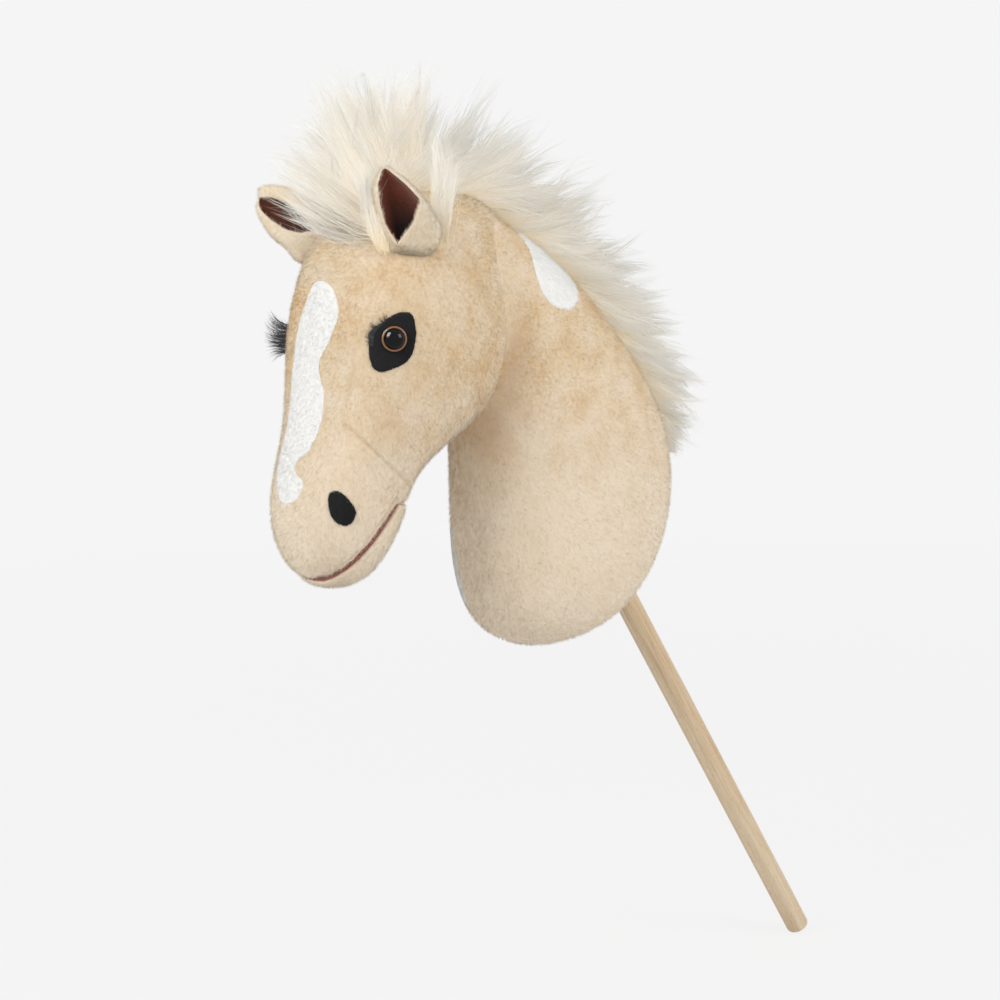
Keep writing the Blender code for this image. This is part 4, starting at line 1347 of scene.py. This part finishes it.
def mane_guides(count, rng, tree):
    """One wisp every few millimetres of the crest: upright in the middle, swept back outside."""
    line, normal = crest_line()
    share = np.sort(rng.uniform(0, 1, count))
    place = share * (len(line) - 1)
    centre = between(line, place)
    across = rng.uniform(-1, 1, count)
    across = np.sign(across) * np.abs(across) ** 0.8
    stages, middle, sides, lengths = np.array(MANE_LIE).T
    high, flat = np.interp(share, stages, middle), np.interp(share, stages, sides)
    lie = high + (flat - high) * np.abs(across) ** 1.2 + rng.normal(0, 7, count)
    length = np.interp(share, stages, lengths) * rng.uniform(0.82, 1.12, count)
    length = length * np.where(rng.random(count) < 0.08, 1.2, 1.0) * (1 - 0.2 * np.abs(across))
    flare = across * np.interp(share, (0, 0.5, 1), (0.42, 0.34, 0.25)) + rng.normal(0, 0.06, count)
    away = np.radians(lie)
    first = np.radians(lie + 14 * (1 - np.abs(across)))
    ahead = np.stack([flare, np.cos(away), np.sin(away)], 1)
    rising = np.stack([flare * 1.15, np.cos(first), np.sin(first)], 1)
    root = np.stack([across * MANE_HALF_WIDTH, -centre[:, 0], centre[:, 1]], 1) * MM
    root = np.array([tree.find_nearest(Vector(p))[0] for p in root])
    middle = root + unit(rising) * (length * 0.5)[:, None] * MM
    end = root + unit(ahead) * length[:, None] * MM
    facing = normal[np.minimum(place.astype(int), len(line) - 2)]
    out = np.stack([across * 0, -facing[:, 0], facing[:, 1]], 1)
    middle += rng.normal(0, 2.6, middle.shape) * MM
    end += rng.normal(0, 4.2, end.shape) * MM
    aside = np.array([1, 0, 0]) * (0.75 * across[:, None] + 0.15)
    return np.stack([root, middle, end], 1), unit(out * 0.35 + np.array([0, 0, 0.8]) + aside)


MANE_LAYERS = 3
MANE_LOCKS = 235


def add_mane(tree):
    for index in range(MANE_LAYERS):
        guides, coats = mane_guides(MANE_LOCKS, np.random.default_rng(40 + index), tree)
        name = f"mane_hair_{index + 1}"
        hair = locks_of_hair(name, guides, 25, (2.2, 3.4, 2.2), 6, 0.17, coats, 50 + index)
        nodes = ("mane",) if index == 0 else ()
        dress(hair, LONG_HAIR, "head", "long_hair", *nodes)


# The forelock's fan of wisps, from the lowest, which sweeps over the brow from the near ear's foot
# to the far ear, to the tuft behind the near ear. Each runs through places (left, forward, up).
FORELOCK = (
    ((42, 414, 550), (26, 433, 551), (-4, 444, 558), (-42, 446, 574)),
    ((40, 413, 556), (22, 434, 560), (-10, 446, 571), (-46, 453, 586)),
    ((36, 412, 560), (14, 432, 574), (-12, 442, 591), (-42, 450, 606)),
    ((32, 410, 566), (10, 426, 592), (-8, 436, 618), (-22, 444, 640)),
    ((28, 406, 572), (9, 420, 604), (-2, 428, 632), (-8, 434, 654)),
    ((22, 402, 582), (10, 412, 616), (2, 420, 642), (-2, 424, 660)),
    ((12, 392, 590), (7, 400, 622), (4, 403, 646), (2, 402, 662)),
    ((4, 376, 594), (8, 377, 626), (7, 372, 648), (6, 364, 664)),
    ((-14, 392, 588), (-16, 404, 612), (-20, 414, 634), (-26, 424, 650)),
    ((-24, 400, 580), (-30, 416, 598), (-38, 430, 612), (-48, 442, 622)),
    ((-34, 404, 570), (-42, 420, 582), (-50, 434, 594), (-62, 448, 602)),
)
EAR_TUFT = (
    ((63, 396, 549), (62, 394, 566), (58, 391, 586), (53, 390, 608)),
    ((60, 391, 555), (58, 388, 572), (54, 380, 590), (48, 368, 606)),
    ((52, 390, 560), (48, 385, 580), (40, 381, 602), (30, 378, 622)),
    ((44, 384, 566), (40, 378, 588), (32, 372, 610), (20, 366, 630)),
)

EAR_FRONT = (
    ((52, 430, 549), (50, 434, 562), (46, 434, 580), (40, 430, 602)),
    ((48, 430, 550), (44, 436, 564), (36, 438, 584), (26, 436, 606)),
)


def fan(chains, count, wander, rng):
    """Guides spread evenly between neighbouring chains, which wander more towards their tips."""
    chains = np.array([[spot(*place) for place in chain] for chain in chains])
    place = np.sort(rng.uniform(0, len(chains) - 1.001, count))
    mixed = between(chains, place)
    return mixed + rng.normal(size=mixed.shape) * np.array(wander)[None, :, None] * MM


FORELOCK_LOCKS = 230
EAR_TUFT_LOCKS = 46
EAR_FRONT_LOCKS = 22


def add_forelock():
    rng = np.random.default_rng(77)
    guides = fan(FORELOCK, FORELOCK_LOCKS, (2.4, 2.2, 3.0, 5.0), rng)
    coats = unit(np.array([[0.6, -0.35, 0.7]]) + rng.normal(size=(len(guides), 3)) * 0.2)
    hair = locks_of_hair("forelock_hair", guides, 22, (1.8, 2.6, 2.2), 7, 0.16, coats, 78)
    dress(hair, LONG_HAIR, "head", "long_hair", "forelock")
    behind = fan(EAR_TUFT, EAR_TUFT_LOCKS, (1.6, 2.0, 3.0, 4.0), rng)
    before = fan(EAR_FRONT, EAR_FRONT_LOCKS, (1.0, 1.2, 2.0, 4.0), rng)
    guides = np.concatenate([behind, before])
    coats = unit(np.array([[0.6, -0.2, 0.7]]) + rng.normal(size=(len(guides), 3)) * 0.2)
    hair = locks_of_hair("ear_tuft_hair", guides, 20, (1.4, 2.0, 1.8), 6, 0.14, coats, 79)
    dress(hair, LONG_HAIR, "head", "long_hair")


# Backing, tape and inner pieces

def add_backing(tree):
    """The knitted strip that the mane is woven into, laid over the crest."""
    line = crest_line()[0]
    bm = bmesh.new()
    bmesh.ops.create_grid(bm, x_segments=10, y_segments=70, size=1.0)
    for vert in bm.verts:
        place = line[int((vert.co.y + 1) / 2 * (len(line) - 1))]
        near, outward, _, _ = tree.find_nearest(spot(vert.co.x * MANE_HALF_WIDTH, *place))
        vert.co = near + outward * 0.9 * MM
    strip = thicken(new_piece("mane_knit", bm), 1.0)
    dress(strip, KNIT, "head", "knit_backing", "mane_backing")


# The loop of tape sewn into the withers: where it leaves the cloth, as (forward, up), its width
# and how far the folded tape stands out
TAB_AT = (152.0, 407.0)
TAB_WIDTH = 10.4
TAB_REACH = 9.0


def add_tab():
    """A short tape folded over on itself, with its fold outside."""
    bm = bmesh.new()
    bmesh.ops.create_grid(bm, x_segments=30, y_segments=6, size=1.0)
    for vert in bm.verts:
        along, height = vert.co.x, vert.co.y * TAB_WIDTH / 2
        out = TAB_REACH * (1 - abs(along) ** 2.2)
        side = 0.9 * math.sin(along * math.pi / 2) ** 3 + 0.25 * math.sin(along * math.pi)
        wave = 0.5 * math.sin(height * 0.5)
        vert.co = spot(side + wave, TAB_AT[0] - out, TAB_AT[1] + height - out * 0.25)
    tape = thicken(new_piece("tape_loop", bm), 0.35)
    dress(tape, TAPE, "head", "woven_tape", "seam_tab")


def add_plain_nodes():
    """Inner pieces that keep their solid shape."""
    for look, names in (
        (WADDING, ("head_stuffing", "neck_stuffing", "jaw_stuffing")),
        (SOCKET, ("socket_tube", "socket_cap", "eye_washer_left", "eye_washer_right")),
    ):
        for name in names:
            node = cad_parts[name]
            node.data.materials.clear()
            node.data.materials.append(look)
            if look is WADDING:
                modify(node, "SMOOTH", factor=1.0, iterations=6)
                modify(node, "DISPLACE", strength=-2.5 * MM, mid_level=0.0)


# Camera, floor and light

# Where the photograph was taken from, in metres, and which way the lens looks
CAMERA_AT = (1.10686, -1.10603, 0.54109)
CAMERA_AHEAD = Vector((-0.80299, 0.58340, -0.12187))

LENS_MM = 70.2


def aimed(name, data, place, ahead):
    """Puts a camera or a lamp in the scene, looking ahead."""
    made = place_in_scene(name, data)
    made.location = place
    made.rotation_euler = ahead.to_track_quat("-Z", "Y").to_euler()
    return made


def add_camera():
    lens = bpy.data.cameras.new("camera")
    lens.sensor_width = 36.0
    lens.lens = LENS_MM
    bpy.context.scene.camera = aimed("camera", lens, CAMERA_AT, CAMERA_AHEAD)


# Soft lamps: where each stands, its side in metres and its power in watts. The last one is for
# the glint in the eyes only.
LAMPS = (
    ("left_softbox", (0.0, -2.15, 1.48), 1.2, 25),
    ("right_softbox", (1.66, 0.43, 1.33), 0.95, 19),
    ("eye_light", (0.0, -1.91, 1.77), 1.15, 80),
)
LAMPS_AIM = (0, -0.35, 0.45)


def add_lamps():
    for name, place, size, power in LAMPS:
        light = bpy.data.lights.new(name, "AREA")
        light.shape = "SQUARE"
        light.size = size
        light.energy = power
        lamp = aimed(name, light, place, Vector(LAMPS_AIM) - Vector(place))
    lamp.visible_diffuse = lamp.visible_transmission = lamp.visible_volume_scatter = False


BACKDROP = "F5F5F5"

FLOOR_GAP = 0.0005


def add_floor():
    """Paper that shows the backdrop's colour and takes a faint shadow near the stick."""
    made, tree, shader = blank(
        "paper_floor", Roughness=0.9, Specular_IOR_Level=0.0, Base_Color="E2E2E2"
    )
    paths = add(tree, "LightPath").outputs
    straight = calc(tree, "MAXIMUM", paths["Is Camera Ray"], paths["Is Glossy Ray"])
    away = add(tree, "VectorMath", {0: own_space(tree)}, operation="LENGTH").outputs["Value"]
    seen = calc(tree, "MULTIPLY", straight, ranged(tree, away, 0.5, 2.5, 0.9, 1.0))
    glow = add(tree, "Emission", {"Color": BACKDROP, "Strength": 1.0})
    blend = add(tree, "MixShader", {0: seen, 1: shader.outputs[0], 2: glow.outputs[0]})
    tree.links.new(blend.outputs[0], tree.nodes["Material Output"].inputs["Surface"])
    bm = bmesh.new()
    bmesh.ops.create_grid(bm, x_segments=1, y_segments=1, size=40.0)
    bmesh.ops.translate(bm, verts=bm.verts, vec=(0, 0, min(solid_box[0][2], 0) - FLOOR_GAP))
    floor = new_piece("floor", bm)
    floor.data.materials.append(made)


# The even light of the studio's walls
SOFT_LIGHT = (1.0, 0.99, 0.975, 1)
SOFT_STRENGTH = 0.68


def add_world():
    """Soft light from all round, with the backdrop's colour where the camera sees it."""
    world = bpy.data.worlds.new("studio")
    world.use_nodes = True
    tree = world.node_tree
    paths = add(tree, "LightPath").outputs
    clear = calc(tree, "MAXIMUM", paths["Is Glossy Ray"], paths["Is Transmission Ray"])
    straight = calc(tree, "MAXIMUM", paths["Is Camera Ray"], clear)
    soft = tree.nodes["Background"]
    soft.inputs["Color"].default_value = SOFT_LIGHT
    soft.inputs["Strength"].default_value = SOFT_STRENGTH
    paper = add(tree, "Background", {"Color": BACKDROP, "Strength": 1.0})
    blend = add(tree, "MixShader", {0: straight, 1: soft.outputs[0], 2: paper.outputs[0]})
    tree.links.new(blend.outputs[0], tree.nodes["World Output"].inputs["Surface"])
    bpy.context.scene.world = world


def add_coats(head, neck, jaw, head_tree, patches):
    """The pile of the skins, left out under the patches and where one skin covers another."""
    over_head = tree_of_all(neck, *patches)
    over_neck = tree_of_all(head, *patches)
    face = {"hidden": over_head, "creases": HEAD_CREASES}
    side = {"hidden": over_neck, "creases": NECK_CREASES}
    for layer in (1, 2):
        pile_on(head, f"face_pile_{layer}", 44000, DOWN_FACE, PLUSH, "plush", layer, **face)
        pile_on(neck, f"neck_pile_{layer}", 44000, DOWN_NECK, PLUSH, "plush", layer + 2, **side)
    pile_on(jaw, "jaw_pile", 12000, DOWN_FACE, PLUSH, "plush", 5, body="jaw", hidden=head_tree)


def main():
    # Without a seed, the noise would be another one in every run
    noise.seed_set(1)
    bpy.context.scene.view_settings.view_transform = "Standard"
    add_camera()
    add_world()
    add_floor()
    add_lamps()
    add_stick()
    head, jaw, neck = fabric_skins()
    head_tree, neck_tree = tree_of(head), tree_of(neck)
    add_plain_nodes()
    patches = add_patches(head, neck, head_tree, neck_tree)
    add_coats(head, neck, jaw, head_tree, patches)
    add_linings()
    add_ears()
    add_eyes(head_tree)
    crown = tree_of_all(head, neck)
    add_backing(crown)
    add_tab()
    add_mane(crown)
    add_forelock()


main()
